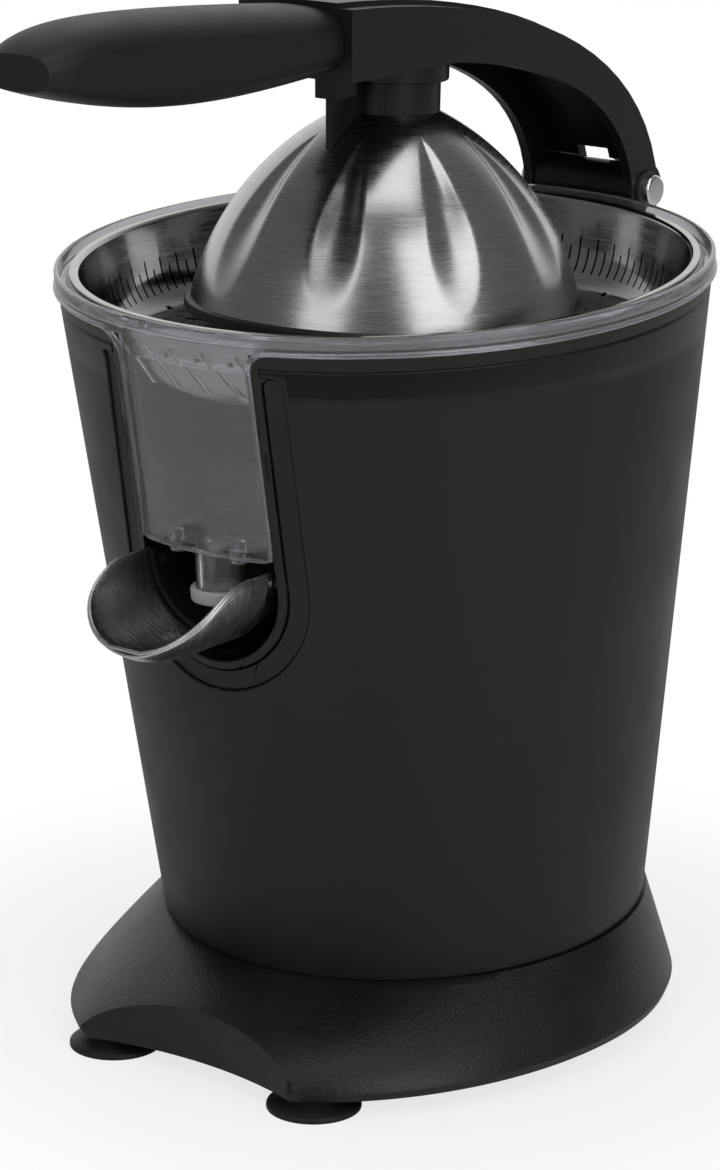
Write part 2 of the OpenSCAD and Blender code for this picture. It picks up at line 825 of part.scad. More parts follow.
module gear_chassis() {
    color("#2a2b2d") bucket() difference() {
        union() {
            at(0, 0, chassis_z) cylinder(h = chassis_t, r = chassis_r);
            for (p = post_places)
                at(p[0], p[1], chassis_z) cylinder(h = cover_z - chassis_z, r = 3.5);
        }
        at(0, 0, chassis_z - over) cylinder(h = chassis_t + 2 * over, r = bush_r);
        at(0, cluster_y, chassis_z - over) cylinder(h = chassis_t + 2 * over, r = axle_r);
        at(motor_x, motor_y, chassis_z - over) cylinder(h = chassis_t + 2 * over, r = 6);
        for (p = motor_screw_places)
            at(p[0], p[1], chassis_z - over) cylinder(h = chassis_t + 2 * over, r = screw_r);
    }
}

module gear_cover() {
    color("#2f3032") bucket() difference() {
        at(0, 0, cover_z) cylinder(h = cover_t, r = chassis_r);
        at(0, 0, cover_z - over) cylinder(h = cover_t + 2 * over, r = sleeve_r + run_gap);
        at(0, cluster_y, cover_z - over) cylinder(h = cover_t + 2 * over, r = axle_r);
        // the bay's back wall passes in front of the cover
        at(-rim_r, -rim_r - bay_back + 3, cover_z - over) cube([2 * rim_r, rim_r, cover_t + 2 * over]);
    }
}

module shaft_bush() {
    color("#a9825a") bucket()
        at(0, 0, chassis_z) tube(chassis_t, bush_r, shaft_r + run_gap);
}

// slides in the cover as the reamer is pressed down
tab_l = 26;
tab_w = 6;
module shaft_sleeve() {
    color("#e0ded6") bucket() difference() {
        union() {
            at(0, 0, sleeve_low) cylinder(h = sleeve_top - sleeve_low, r = sleeve_r);
            at(0, 0, sleeve_top - 2) cylinder(h = 2, r = sleeve_flange_r);
            at(-tab_l, -tab_w / 2, sleeve_top - 2) cube([tab_l, tab_w, 2]);
        }
        at(0, 0, sleeve_low - over) cylinder(h = 40, r = shaft_r + run_gap);
    }
}

spring_wire = 1.2;
coil_steps = 20;
coil_sides = 8;

// one wound wire: r is the coil's radius, w the wire's, h the overall height
module coil(r, w, h, turns) {
    n = round(turns * coil_steps);
    rings = [for (i = [0 : n])
        let (a = i * 360 / coil_steps, z = w + (h - 2 * w) * i / n)
        [for (j = [0 : coil_sides - 1])
            let (b = j * 360 / coil_sides, d = r + w * cos(b))
            [d * cos(a), d * sin(a), z + w * sin(b)]]];
    polyhedron(
        points = [for (ring = rings, p = ring) p],
        faces = concat(
            [[for (j = [0 : coil_sides - 1]) j]],
            [for (i = [0 : n - 1], j = [0 : coil_sides - 1])
                let (k = (j + 1) % coil_sides)
                [i * coil_sides + j, (i + 1) * coil_sides + j, (i + 1) * coil_sides + k, i * coil_sides + k]],
            [[for (j = [coil_sides - 1 : -1 : 0]) n * coil_sides + j]]
        )
    );
}

module press_spring() {
    color("#c0c1c3") bucket()
        at(0, 0, cover_z + cover_t) coil(sleeve_r + 1.8, spring_wire / 2, spring_h, 3.5);
}

switch_x = -22;
module switch_body() {
    color("#1a3a5c") bucket() difference() {
        at(switch_x - 5, -4, cover_z + cover_t) cube([10, 8, spring_h - 3]);
        at(switch_x, 0, cover_z + cover_t + 1) cylinder(h = 20, r = 1.5 + run_gap);
    }
}

module switch_plunger() {
    color("#c94f3c") bucket()
        at(switch_x, 0, cover_z + cover_t + 1 + press_travel)
            cylinder(h = spring_h - 1 - press_travel, r = 1.5);
}

// ---- motor ----
motor_top = chassis_z;
motor_wall = 1.5;
motor_screw_ring = motor_r - 11;
motor_screw_places = [
    for (a = [20, 200]) [motor_x + motor_screw_ring * cos(a), motor_y + motor_screw_ring * sin(a)]
];

module motor_can() {
    color("#8f9194") bucket() at(motor_x, motor_y, motor_top - motor_l) difference() {
        cylinder(h = motor_l, r = motor_r);
        at(0, 0, motor_wall + 2) cylinder(h = motor_l - 2 * motor_wall - 4, r = motor_r - motor_wall);
        at(0, 0, -over) cylinder(h = motor_l + 2 * over, r = rotor_shaft_r + run_gap);
        for (a = [20, 200])
            at(motor_screw_ring * cos(a), motor_screw_ring * sin(a), motor_l - motor_wall - 4) cylinder(h = 10, r = screw_r);
    }
}

module motor_rotor() {
    color("#7c5a3a") bucket() at(motor_x, motor_y, motor_top - motor_l) {
        cylinder(h = motor_l + fast_z - motor_top + fast_h, r = rotor_shaft_r);
        at(0, 0, motor_wall + 8) tube(motor_l - 2 * motor_wall - 16, motor_r - motor_wall - 5, rotor_shaft_r);
    }
}

module motor_screws() {
    color("#9b9ea1") bucket()
        for (p = motor_screw_places)
            at(p[0], p[1], chassis_z) {
                at(0, 0, -3) cylinder(h = chassis_t + 3, r = screw_r);
                at(0, 0, chassis_t) cylinder(h = 1.2, r = 2.6);
            }
}

// ---- deck under the collector ----
module top_deck() {
    color("#1b1b1d") bucket() difference() {
        cone_part(shell_wall, deck_z, deck_z + deck_t);
        at(0, 0, deck_z - over) cylinder(h = deck_t + 2 * over, r = shaft_r + 4);
        pocket_block(bay_half, bay_back, deck_z - over, deck_z + deck_t + over);
    }
}

module shaft_seal() {
    color("#3a3a3c") bucket()
        at(0, 0, deck_z) tube(deck_t + 1, shaft_r + 4, shaft_r + 0.3);
}

// ---- hinge ----
hinge_z = rim_z;
barrel_r = 7.5;
arm_inner = arm_w / 2 - arm_wall;
bracket_half = arm_inner - side_gap;
bracket_low = 178;
bracket_back = hinge_y + 5;
bracket_screw_z = [bracket_low + 14, bracket_low + 28];
bracket_seat_y = hinge_y - 4;
pin_head_r = 4.6;
pin_head_h = 2.6;
washer_t = 1;

module hinge_bracket() {
    color("#19191a") bucket() difference() {
        union() {
            at(-bracket_half, 0, 0) rotate([90, 0, 90]) linear_extrude(2 * bracket_half)
                polygon([
                    [shell_foot_r, bracket_low], [shell_r(bracket_low) + 5, bracket_low],
                    [bracket_back, bracket_low + 20], [bracket_back, hinge_z],
                    [hinge_y - 4, hinge_z], [shell_foot_r, hinge_z - 22]
                ]);
            at(0, hinge_y, hinge_z) rod_x(barrel_r, 2 * bracket_half);
        }
        cone_part(0, bracket_low - over, shell_top_z);
        at(0, 0, shell_top_z - over) cylinder(h = 60, r = rim_r + lift_gap);
        at(0, hinge_y, hinge_z) rod_x(hinge_pin_r + run_gap, arm_w);
        for (z = bracket_screw_z) {
            at(0, bracket_back, z) rod_front(screw_r, 40);
            at(0, bracket_back + over, z) rod_front(screw_head_r, bracket_back + over - bracket_seat_y);
        }
    }
}

// heads sit in counterbores behind the bracket, threads end in the shell
module bracket_screws() {
    color("#9b9ea1") bucket()
        for (z = bracket_screw_z) {
            at(0, bracket_seat_y, z) rod_front(screw_r, bracket_seat_y - shell_r(z) + shell_wall);
            at(0, bracket_seat_y + 2, z) rod_front(screw_head_r, 2);
        }
}

module arm_frame() {
    bucket() at(0, hinge_y, hinge_z) rotate([-lean, 0, 0]) children();
}

module hinge_pin() {
    color("#d5d6d8") arm_frame() {
        rod_x(hinge_pin_r, arm_w + 2 * washer_t);
        for (side = [-1, 1])
            at(side * (arm_w / 2 + washer_t + pin_head_h / 2), 0, 0) rod_x(pin_head_r, pin_head_h);
    }
}

module pin_washers() {
    color("#111112") arm_frame()
        for (side = [-1, 1])
            at(side * (arm_w + washer_t) / 2, 0, 0) difference() {
                rod_x(pin_head_r + 1, washer_t);
                rod_x(hinge_pin_r, 2 * washer_t);
            }
}

// ---- lever arm, in a level frame at the hinge ----
dome_reach = 103.35;
dome_drop = 18.8;
curve_steps = 20;
function bezier(p, t) =
    pow(1 - t, 3) * p[0] + 3 * pow(1 - t, 2) * t * p[1] + 3 * (1 - t) * t * t * p[2] + pow(t, 3) * p[3];
function curve(p) = [for (i = [0 : curve_steps]) bezier(p, i / curve_steps)];
function back(list) = [for (i = [len(list) - 1 : -1 : 0]) list[i]];

seam_y = -144;
arm_top = [[seam_y, 70], [-72, 67], [-1, 48], [6.3, 0]];
arm_low = [[-96, 50], [-57, 45], [-12, 34], [-7.4, 0]];
skin = [[0, -arm_wall], [0, -arm_wall], [-arm_wall, -arm_wall], [-arm_wall, 0]];
arm_void_top = arm_top + skin;
crown = [[0, 1.4], [0, 1.4], [1.4, 1.4], [0, 0]];
nose_low_z = 50;
void_front_y = -78;
heel_r = 8;
core_w = grip_w - 2 * grip_wall - 5;
core_h = 11;
core_z = 61;
core_l = grip_l - 26;

module side_prism(half) {
    rotate([90, 0, 90]) at(0, 0, -half) linear_extrude(2 * half) children();
}

module lever_arm() {
    color("#1b1b1c") arm_frame() difference() {
        union() {
            side_prism(arm_w / 2) {
                polygon(concat(curve(arm_top), back(curve(arm_low)), [[seam_y, nose_low_z]]));
                circle(heel_r);
            }
            // crown along the middle of the skin
            side_prism(arm_w / 2 - arm_wall - 2)
                polygon(concat(curve(arm_top + crown), back(curve(arm_void_top))));
            // tang inside the grip
            at(-core_w / 2, seam_y - core_l, core_z - core_h / 2) cube([core_w, core_l + over, core_h]);
        }
        // channel under the skin, open below
        side_prism(arm_inner) {
            intersection() {
                polygon(concat(curve(arm_void_top), [[6.3 - arm_wall, -20], [seam_y, -20]]));
                translate([void_front_y, -20]) square([100, 100]);
            }
            circle(barrel_r + side_gap);
            translate([-2, -20]) square([30, 20 + 5]);
        }
        // slot in the rear skin
        at(-5.5, -6, 4.5) cube([11, 20, 6.5]);
        rod_x(hinge_pin_r + run_gap, 2 * arm_w);
        // well of the release button and its spring
        at(0, button_y, 0) button_well();
        // seat of the collar
        dome_place() cylinder(h = collar_top, r = collar_r);
    }
}

// ---- release button ----
button_y = -88.5;
button_x_r = 5;
button_len = 9;
button_top = 64.2;
button_h = 5;
button_spring_low = 2.2;
well_floor = button_top - button_h - button_travel - button_spring_low;
spring_r = 3;

module oval(r, l) {
    for (side = [-1, 1]) translate([0, side * l / 2]) circle(r);
    translate([-r, -l / 2]) square([2 * r, l]);
}

module button_well() {
    at(0, 0, well_floor) linear_extrude(30) oval(button_x_r + 0.3, button_len);
}

module release_button() {
    color("#d9dadc") arm_frame() at(0, button_y, button_top - button_h)
        linear_extrude(button_h) oval(button_x_r, button_len);
}

module button_spring() {
    color("#c0c1c3") arm_frame()
        at(0, button_y, well_floor) coil(spring_r, 0.3, button_top - button_h - well_floor, 2.5);
}

// ---- grip: a lofted sleeve over the tang ----
grip_rings = 16;
grip_sides = 32;
// width, top and bottom of the grip at t, from the seam (0) to the tip (1)
function grip_half(t) = grip_w / 2 * (0.94 + 0.06 * sin(180 * t)) * (1 - 0.36 * pow(t, 9));
function grip_top(t) = 70 + 6 * sin(100 * t) - 6.5 * pow(t, 9);
function grip_low(t) = 51 - 2.5 * sin(165 * t) + 9.5 * pow(t, 3);
function grip_ring(t, y) =
    let (top = grip_top(t), low = grip_low(t), mid = (top + low) / 2, h = (top - low) / 2)
    [for (i = [0 : grip_sides - 1])
        let (a = i * 360 / grip_sides, c = cos(a), s = sin(a))
        [
            grip_half(t) * sign(c) * pow(abs(c), 0.72),
            y,
            mid + h * sign(s) * pow(abs(s), 0.72)
        ]];
grip_points = [for (j = [0 : grip_rings])
    let (t = sin(90 * j / grip_rings)) each grip_ring(t, seam_y - grip_l * t)];
grip_faces = concat(
    [[for (i = [0 : grip_sides - 1]) i]],
    [for (j = [0 : grip_rings - 1], i = [0 : grip_sides - 1])
        let (n = (i + 1) % grip_sides, a = j * grip_sides, b = a + grip_sides) [a + i, b + i, b + n]],
    [for (j = [0 : grip_rings - 1], i = [0 : grip_sides - 1])
        let (n = (i + 1) % grip_sides, a = j * grip_sides, b = a + grip_sides) [a + i, b + n, a + n]],
    [[for (i = [grip_sides - 1 : -1 : 0]) grip_rings * grip_sides + i]]
);

module grip_sleeve() {
    color("#131314") arm_frame() difference() {
        polyhedron(grip_points, grip_faces, convexity = 4);
        at(-core_w / 2, seam_y - core_l, core_z - core_h / 2) cube([core_w, core_l + over, core_h]);
    }
}

// ---- dome, hung from the arm ----
// what the neck fills between the dome and the collar
neck_h = collar_low - dome_h;
// the dome's arc runs from its rim to the neck's edge; its centre lies below and behind
dome_chord = norm([dome_r - neck_r, dome_h]);
dome_off = sqrt(dome_arc_r * dome_arc_r - dome_chord * dome_chord / 4);
dome_axis_z = dome_h / 2 - dome_off * (dome_r - neck_r) / dome_chord;
arc_in = dome_off * dome_h / dome_chord - (dome_r + neck_r) / 2;
dome_mouth_r = 9;
module dome_place() {
    at(0, -dome_reach, -dome_drop) rotate([-dome_tilt, 0, 0]) children();
}

module dome_frame() {
    arm_frame() dome_place() children();
}

module dome_disc(grow) {
    translate([-arc_in, dome_axis_z]) circle(dome_arc_r + grow, $fn = 256);
}

module press_dome() {
    color("#b4b5b7") dome_frame() difference() {
        rotate_extrude() intersection() {
            difference() {
                dome_disc(0);
                difference() {
                    dome_disc(-dome_t);
                    translate([0, dome_h - dome_t]) square([neck_r, 20]);
                }
            }
            square([dome_r + over, dome_h]);
        }
        at(0, 0, dome_h - 10) cylinder(h = 20, r = dome_mouth_r);
    }
}

module dome_ring() {
    color("#101011") dome_frame() difference() {
        at(0, 0, -3.5) cylinder(h = 3.5, r = dome_r + 1.7);
        at(0, 0, -3.5 - over) cylinder(h = 10, r = dome_r - 2.5);
    }
}

module dome_neck() {
    color("#141415") dome_frame() {
        at(0, 0, dome_h) cylinder(h = neck_h, r = neck_r);
        at(0, 0, dome_h - 8) cylinder(h = 8, r = dome_mouth_r);
    }
}

module dome_nut() {
    color("#232325") dome_frame()
        at(0, 0, dome_h - dome_t - 5) tube(5, dome_mouth_r + 3, dome_mouth_r);
}

collar_r = neck_r + 2.3;
collar_top = dome_h + neck_h + collar_h;
collar_screw_x = 8;

module arm_collar() {
    color("#171718") dome_frame() difference() {
        at(0, 0, dome_h + neck_h) cylinder(h = collar_h, r = collar_r);
        for (x = [-collar_screw_x, collar_screw_x])
            at(x, 0, dome_h + neck_h - over) cylinder(h = collar_h + 2 * over, r = screw_r);
    }
}

module collar_screws() {
    color("#9b9ea1") dome_frame()
        for (x = [-collar_screw_x, collar_screw_x])
            at(x, 0, dome_h + neck_h) cylinder(h = collar_h, r = screw_r);
}

// plate in front of the neck that follows the dome, with a boss under the arm
brace_t = 2;
brace_front = 129.5;
brace_boss_low = dome_h - 12.2;
brace_boss_w = 8;
brace_boss_l = 9;
module dome_brace() {
    color("#151516") difference() {
        arm_frame() {
            at(-brace_t / 2, -brace_front, 20) cube([brace_t, 40, nose_low_z - 20]);
            at(-brace_boss_w / 2, -brace_front - 1, brace_boss_low)
                cube([brace_boss_w, brace_boss_l, nose_low_z - brace_boss_low]);
        }
        dome_frame() {
            side_prism(brace_boss_w) translate([arc_in, dome_axis_z]) circle(dome_arc_r, $fn = 256);
            cylinder(h = dome_h + neck_h + over, r = neck_r);
            at(0, 0, dome_h + neck_h) cylinder(h = collar_h, r = collar_r);
        }
    }
}

base_skirt();
base_plate();
base_screws();
suction_feet();
cord_gland();
body_floor();
body_shell();
trim_ring();
spout_surround();
spout_bezel();
spout_bay();
spout_pins();
pouring_spout();
spout_carrier();
juice_collector();
nozzle_seal();
strainer();
reamer();
drive_shaft();
output_gear();
shaft_sleeve();
press_spring();
switch_body();
switch_plunger();
gear_chassis();
gear_cover();
shaft_bush();
cluster_gear();
cluster_axle();
motor_can();
motor_screws();
motor_rotor();
motor_pinion();
top_deck();
shaft_seal();
hinge_bracket();
bracket_screws();
hinge_pin();
pin_washers();
lever_arm();
grip_sleeve();
release_button();
button_spring();
arm_collar();
collar_screws();
dome_brace();
dome_neck();
dome_nut();
press_dome();
dome_ring();
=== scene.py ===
import json
from math import asin, atan2, copysign, cos, pi, radians, sin, sqrt, tan

import bmesh
import bpy
from mathutils import Matrix, Vector

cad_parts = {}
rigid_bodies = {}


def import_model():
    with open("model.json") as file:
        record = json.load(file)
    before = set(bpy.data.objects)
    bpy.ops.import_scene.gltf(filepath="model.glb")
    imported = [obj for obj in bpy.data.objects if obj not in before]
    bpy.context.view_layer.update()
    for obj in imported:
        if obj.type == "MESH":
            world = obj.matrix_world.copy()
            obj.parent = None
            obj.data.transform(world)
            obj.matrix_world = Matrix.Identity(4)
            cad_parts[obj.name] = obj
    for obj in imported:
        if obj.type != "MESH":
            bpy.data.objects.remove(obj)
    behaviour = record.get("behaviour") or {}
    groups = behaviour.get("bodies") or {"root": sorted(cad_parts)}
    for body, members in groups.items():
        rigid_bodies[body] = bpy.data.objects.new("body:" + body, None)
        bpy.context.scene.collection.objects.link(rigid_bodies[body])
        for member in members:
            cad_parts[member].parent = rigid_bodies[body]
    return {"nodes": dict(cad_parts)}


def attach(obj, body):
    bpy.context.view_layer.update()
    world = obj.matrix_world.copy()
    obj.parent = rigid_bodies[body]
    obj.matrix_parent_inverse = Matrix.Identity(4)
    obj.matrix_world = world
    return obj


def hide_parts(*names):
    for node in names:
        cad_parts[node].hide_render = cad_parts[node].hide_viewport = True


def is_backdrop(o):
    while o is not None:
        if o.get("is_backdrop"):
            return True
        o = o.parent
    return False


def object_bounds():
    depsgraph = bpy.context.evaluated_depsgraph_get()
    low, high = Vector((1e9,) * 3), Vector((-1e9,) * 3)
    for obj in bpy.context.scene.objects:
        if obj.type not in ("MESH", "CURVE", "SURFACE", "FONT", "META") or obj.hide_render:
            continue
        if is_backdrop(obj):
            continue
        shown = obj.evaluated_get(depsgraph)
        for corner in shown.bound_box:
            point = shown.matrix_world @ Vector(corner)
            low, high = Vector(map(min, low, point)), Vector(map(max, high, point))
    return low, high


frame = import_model()

bl_info = {
    "name": "Lever citrus press",
    "version": (1, 0, 0),
    "blender": (4, 5, 0),
    "location": "3D View > Sidebar > Citrus press",
    "description": "Dresses the packed frame of a lever citrus press",
    "category": "Object",
}

# Lengths below are in millimetres and angles in degrees, as in the part's source.
LEAN = 3
RIM_Z = 227
RIM_BASE_Z = 221
SHELL_TOP_Z = 217
SHELL_TOP_R = 93.1
FOOT_R = 72
FOOT_Z = 32
OPENING_Z = 151.5
OPENING_HALF = 26
BEZEL_HALF = 23.4
SURROUND_HALF = 32.2
SURROUND_TOP_Z = 214.5
POCKET_Z = 160
HINGE_Y = 104
DOME_REACH, DOME_DROP, DOME_TILT = 103.35, 18.8, 2.3
# steps of what is turned on the bucket's axis
ROUND_STEPS = 216
# y span of the prisms that cut the front wall, and a height above it all
FRONT, MIDDLE, ABOVE = -130, -30, 240
# the rounded corners where the window meets the clear rim
CORNER_X, CORNER_Z, CORNER_R, CORNER_LOW_Z = 29.4, 215, 6, 219.9


def moved(x, y, z):
    return Matrix.Translation((x, y, z))


def turned(degrees, axis):
    return Matrix.Rotation(radians(degrees), 4, axis)


BUCKET = turned(LEAN, "X")
HINGE = Matrix.Translation(BUCKET @ Vector((0, HINGE_Y, RIM_Z)))
DOME = HINGE @ moved(0, -DOME_REACH, -DOME_DROP) @ turned(-DOME_TILT, "X")
STILL = Matrix.Identity(4)
TO_METRES = Matrix.Scale(0.001, 4)


def shell_r(z):
    """Outer radius of the bucket at height z along its own axis."""
    return FOOT_R + (SHELL_TOP_R - FOOT_R) * (z - FOOT_Z) / (SHELL_TOP_Z - FOOT_Z)


# ---- materials


class Wire:
    """An output socket of a node tree that takes arithmetic."""

    def __init__(self, owner, socket):
        self.owner = owner
        self.socket = socket

    def maths(self, operation, *others):
        sockets = dict(enumerate((self, *others)))
        return self.owner.node("ShaderNodeMath", {"operation": operation}, sockets)

    def __add__(self, other):
        return self.maths("ADD", other)

    def __mul__(self, other):
        return self.maths("MULTIPLY", other)

    def ramp(self, low, high, start=0.0, end=1.0):
        """Goes smoothly from start to end as this value goes from low to high."""
        return self.owner.node(
            "ShaderNodeMapRange",
            {"interpolation_type": "SMOOTHSTEP"},
            {"Value": self, "From Min": low, "From Max": high, "To Min": start, "To Max": end},
        )


class Tree:
    """A node tree and the ways to fill it."""

    def __init__(self, tree):
        self.tree = tree
        tree.nodes.clear()

    def put(self, socket, value):
        if isinstance(value, Wire):
            self.tree.links.new(value.socket, socket)
        else:
            socket.default_value = value

    def node(self, kind, settings=None, sockets=None, output=0):
        made = self.tree.nodes.new(kind)
        for key, value in (settings or {}).items():
            setattr(made, key, value)
        for key, value in (sockets or {}).items():
            self.put(made.inputs[key], value)
        return Wire(self, made.outputs[output])


class Paint(Tree):
    """One material and its node tree."""

    def __init__(self, name):
        self.material = bpy.data.materials.new(name)
        self.material.use_nodes = True
        super().__init__(self.material.node_tree)
        self.shader = self.tree.nodes.new("ShaderNodeBsdfPrincipled")
        self.surface = self.tree.nodes.new("ShaderNodeOutputMaterial")
        self.tree.links.new(self.shader.outputs[0], self.surface.inputs["Surface"])

    def set(self, **values):
        """Fills sockets of the Principled shader: base_color stands for Base Color."""
        for key, value in values.items():
            socket = key.replace("_", " ").title().replace("Ior", "IOR")
            self.put(self.shader.inputs[socket], value)
        return self

    def place(self, stretch=(1, 1, 1)):
        spot = self.node("ShaderNodeTexCoord", output="Object")
        return self.node("ShaderNodeMapping", {}, {"Vector": spot, "Scale": stretch})

    def noise(self, size_mm, detail, stretch=(1, 1, 1), rough=0.5):
        return self.node("ShaderNodeTexNoise", {}, {
            "Vector": self.place(stretch), "Scale": 1000 / size_mm, "Detail": detail, "Roughness": rough,
        })

    def blend(self, amount, first, second):
        """A colour between two colours."""
        return self.node(
            "ShaderNodeMix",
            {"data_type": "RGBA"},
            {0: amount, 6: (*first, 1), 7: (*second, 1)},
            output=2,
        )

    def bump(self, height, depth_mm):
        sockets = {"Height": height, "Distance": depth_mm / 1000, "Strength": 1.0}
        return self.node("ShaderNodeBump", {}, sockets)


def shade(colour, factor):
    return tuple(min(1.0, c * factor) for c in colour)


def moulded(name, colour, roughness, grain_mm=0.5, grain_depth=0.02, speck=0.15, gloss=0.3):
    """Moulded plastic with a fine grain and faint cloudiness."""
    paint = Paint(name)
    cloud = paint.noise(28, 2)
    grain = paint.noise(grain_mm, 2)
    tone = cloud * 0.6 + grain * 0.4
    paint.set(
        base_color=paint.blend(tone.ramp(0.3, 0.7), shade(colour, 1 - speck), shade(colour, 1 + speck)),
        roughness=cloud.ramp(0.3, 0.7, roughness - 0.04, roughness + 0.04),
        normal=paint.bump(grain, grain_depth),
        specular_ior_level=gloss,
    )
    return paint


def brushed(name, colour, roughness, stretch, depth=0.006):
    """Steel with fine strokes; stretch is small along them and large across them."""
    paint = Paint(name)
    strokes = paint.noise(1, 3, stretch, 0.6)
    broad = paint.noise(9, 2, tuple(0.3 + s for s in stretch))
    tone = strokes * 0.7 + broad * 0.3
    paint.set(
        base_color=paint.blend(tone.ramp(0.35, 0.65), shade(colour, 0.88), shade(colour, 1.06)),
        metallic=1.0,
        roughness=strokes.ramp(0.3, 0.7, roughness - 0.05, roughness + 0.06),
        normal=paint.bump(strokes, depth),
    )
    return paint


def polished(name, colour, roughness):
    """Bright plated metal with faint handling marks."""
    paint = Paint(name)
    haze = paint.noise(6, 3)
    paint.set(
        base_color=paint.blend(haze.ramp(0.3, 0.7), shade(colour, 0.95), colour),
        metallic=1.0,
        roughness=haze.ramp(0.35, 0.7, roughness, roughness + 0.08),
    )
    return paint


def clear(name, size_mm, detail, tint, haze_tint, rough_from, rough_to, let_through, ior):
    """Clear plastic or silicone with a faint tint and haze."""
    paint = Paint(name)
    haze = paint.noise(size_mm, detail)
    paint.set(
        base_color=paint.blend(haze.ramp(0.3, 0.7), tint, haze_tint),
        roughness=haze.ramp(0.3, 0.7, rough_from, rough_to),
        transmission_weight=let_through,
        ior=ior,
    )
    return paint


def rubber(name, colour, roughness):
    """Soft black with a fine grain and a little dust."""
    paint = Paint(name)
    dust = paint.noise(9, 4)
    grain = paint.noise(0.7, 2)
    paint.set(
        base_color=paint.blend(dust.ramp(0.3, 0.8), colour, shade(colour, 1.15)),
        roughness=dust.ramp(0.3, 0.7, roughness - 0.02, roughness + 0.02),
        normal=paint.bump(grain, 0.015),
        specular_ior_level=0.3,
    )
    return paint


# ---- meshes


def rounded(corners, steps=4):
    """An outline whose corners (x, y, radius) are rounded; a corner of two numbers stays sharp."""
    out = []
    count = len(corners)
    for i, corner in enumerate(corners):
        here = Vector(corner[:2])
        radius = corner[2] if len(corner) > 2 else 0
        if not radius:
            out.append(tuple(here))
            continue
        before = Vector(corners[i - 1][:2]) - here
        after = Vector(corners[(i + 1) % count][:2]) - here
        reach = min(radius, before.length * 0.48, after.length * 0.48)
        a, b = here + before.normalized() * reach, here + after.normalized() * reach
        for k in range(steps + 1):
            t = k / steps
            out.append(tuple(a * (1 - t) ** 2 + here * 2 * t * (1 - t) + b * t * t))
    return out


def outward(bm):
    """Turns the faces of a closed mesh outwards."""
    bmesh.ops.recalc_face_normals(bm, faces=bm.faces)
    if bm.calc_volume(signed=True) < 0:
        bmesh.ops.reverse_faces(bm, faces=bm.faces)
    return bm


def loop_of(bm, points):
    """Vertices at the points, joined in a closed ring of edges."""
    verts = [bm.verts.new(p) for p in points]
    edges = [bm.edges.new((verts[i - 1], verts[i])) for i in range(len(verts))]
    return verts, edges


def lathe_bm(outline, steps=ROUND_STEPS):
    """A closed outline (radius, height) turned round the Z axis."""
    bm = bmesh.new()
    verts, edges = loop_of(bm, [(r, 0, z) for r, z in outline])
    bmesh.ops.spin(
        bm, geom=verts + edges, cent=(0, 0, 0), axis=(0, 0, 1), dvec=(0, 0, 0), angle=radians(360),
        steps=steps, use_merge=True, use_normal_flip=False, use_duplicate=False,
    )
    bmesh.ops.remove_doubles(bm, verts=bm.verts, dist=1e-4)
    bmesh.ops.dissolve_degenerate(bm, dist=1e-4, edges=bm.edges)
    return outward(bm)


def prism_bm(outline, low, high, axis="Y"):
    """An outline in a plane, drawn out from low to high along the axis across it."""
    bm = bmesh.new()

    def at(p, d):
        return (p[0], d, p[1]) if axis == "Y" else (p[0], p[1], d)

    edges = loop_of(bm, [at(p, low) for p in outline])[1]
    face = bmesh.ops.contextual_create(bm, geom=edges)["faces"]
    made = bmesh.ops.extrude_face_region(bm, geom=face)
    far = [g for g in made["geom"] if isinstance(g, bmesh.types.BMVert)]
    shift = Vector(at((0, 0), high)) - Vector(at((0, 0), low))
    bmesh.ops.translate(bm, verts=far, vec=shift)
    return outward(bm)


def bar(bm, matrix, length, width, depth):
    """Adds a block round the matrix's origin."""
    bmesh.ops.create_cube(bm, size=1, matrix=matrix @ Matrix.Diagonal((length, width, depth, 1)))


def rod(bm, matrix, radius, depth, segments=12):
    """Adds a round bar along the matrix's Z axis."""
    bmesh.ops.create_cone(bm, cap_ends=True, segments=segments, radius1=radius, radius2=radius, depth=depth,
                          matrix=matrix)


def piece(name, bm, matrix, smooth=35.0):
    """A finished mesh in the row's frame, in metres."""
    bmesh.ops.transform(bm, matrix=TO_METRES @ matrix, verts=bm.verts)
    mesh = bpy.data.meshes.new(name)
    bm.to_mesh(mesh)
    bm.free()
    for polygon in mesh.polygons:
        polygon.use_smooth = True
    mesh.set_sharp_from_angle(angle=radians(smooth))
    made = bpy.data.objects.new(name, mesh)
    bpy.context.scene.collection.objects.link(made)
    return made


def settle(obj):
    """Bakes an object's modifiers into its mesh."""
    graph = bpy.context.evaluated_depsgraph_get()
    mesh = bpy.data.meshes.new_from_object(obj.evaluated_get(graph))
    old = obj.data
    obj.modifiers.clear()
    obj.data = mesh
    mesh.name = obj.name
    bpy.data.meshes.remove(old)
    return obj


def carve(obj, cutter, operation="DIFFERENCE"):
    """Cuts obj with another object, which is then removed."""
    cut = obj.modifiers.new("cut", "BOOLEAN")
    cut.operation = operation
    cut.solver = "MANIFOLD"
    cut.object = cutter
    settle(obj)
    bpy.data.objects.remove(cutter)
    for polygon in obj.data.polygons:
        polygon.use_smooth = True
    obj.data.set_sharp_from_angle(angle=radians(35))
    return obj


def soften(obj, width_mm, segments=2, angle=40.0, clamp=True):
    """Rounds the sharp edges."""
    edge = obj.modifiers.new("rounded edges", "BEVEL")
    edge.width = width_mm / 1000
    edge.segments = segments
    edge.limit_method = "ANGLE"
    edge.angle_limit = radians(angle)
    edge.use_clamp_overlap = clamp
    edge.harden_normals = False
    edge.miter_outer = "MITER_ARC"
    return obj


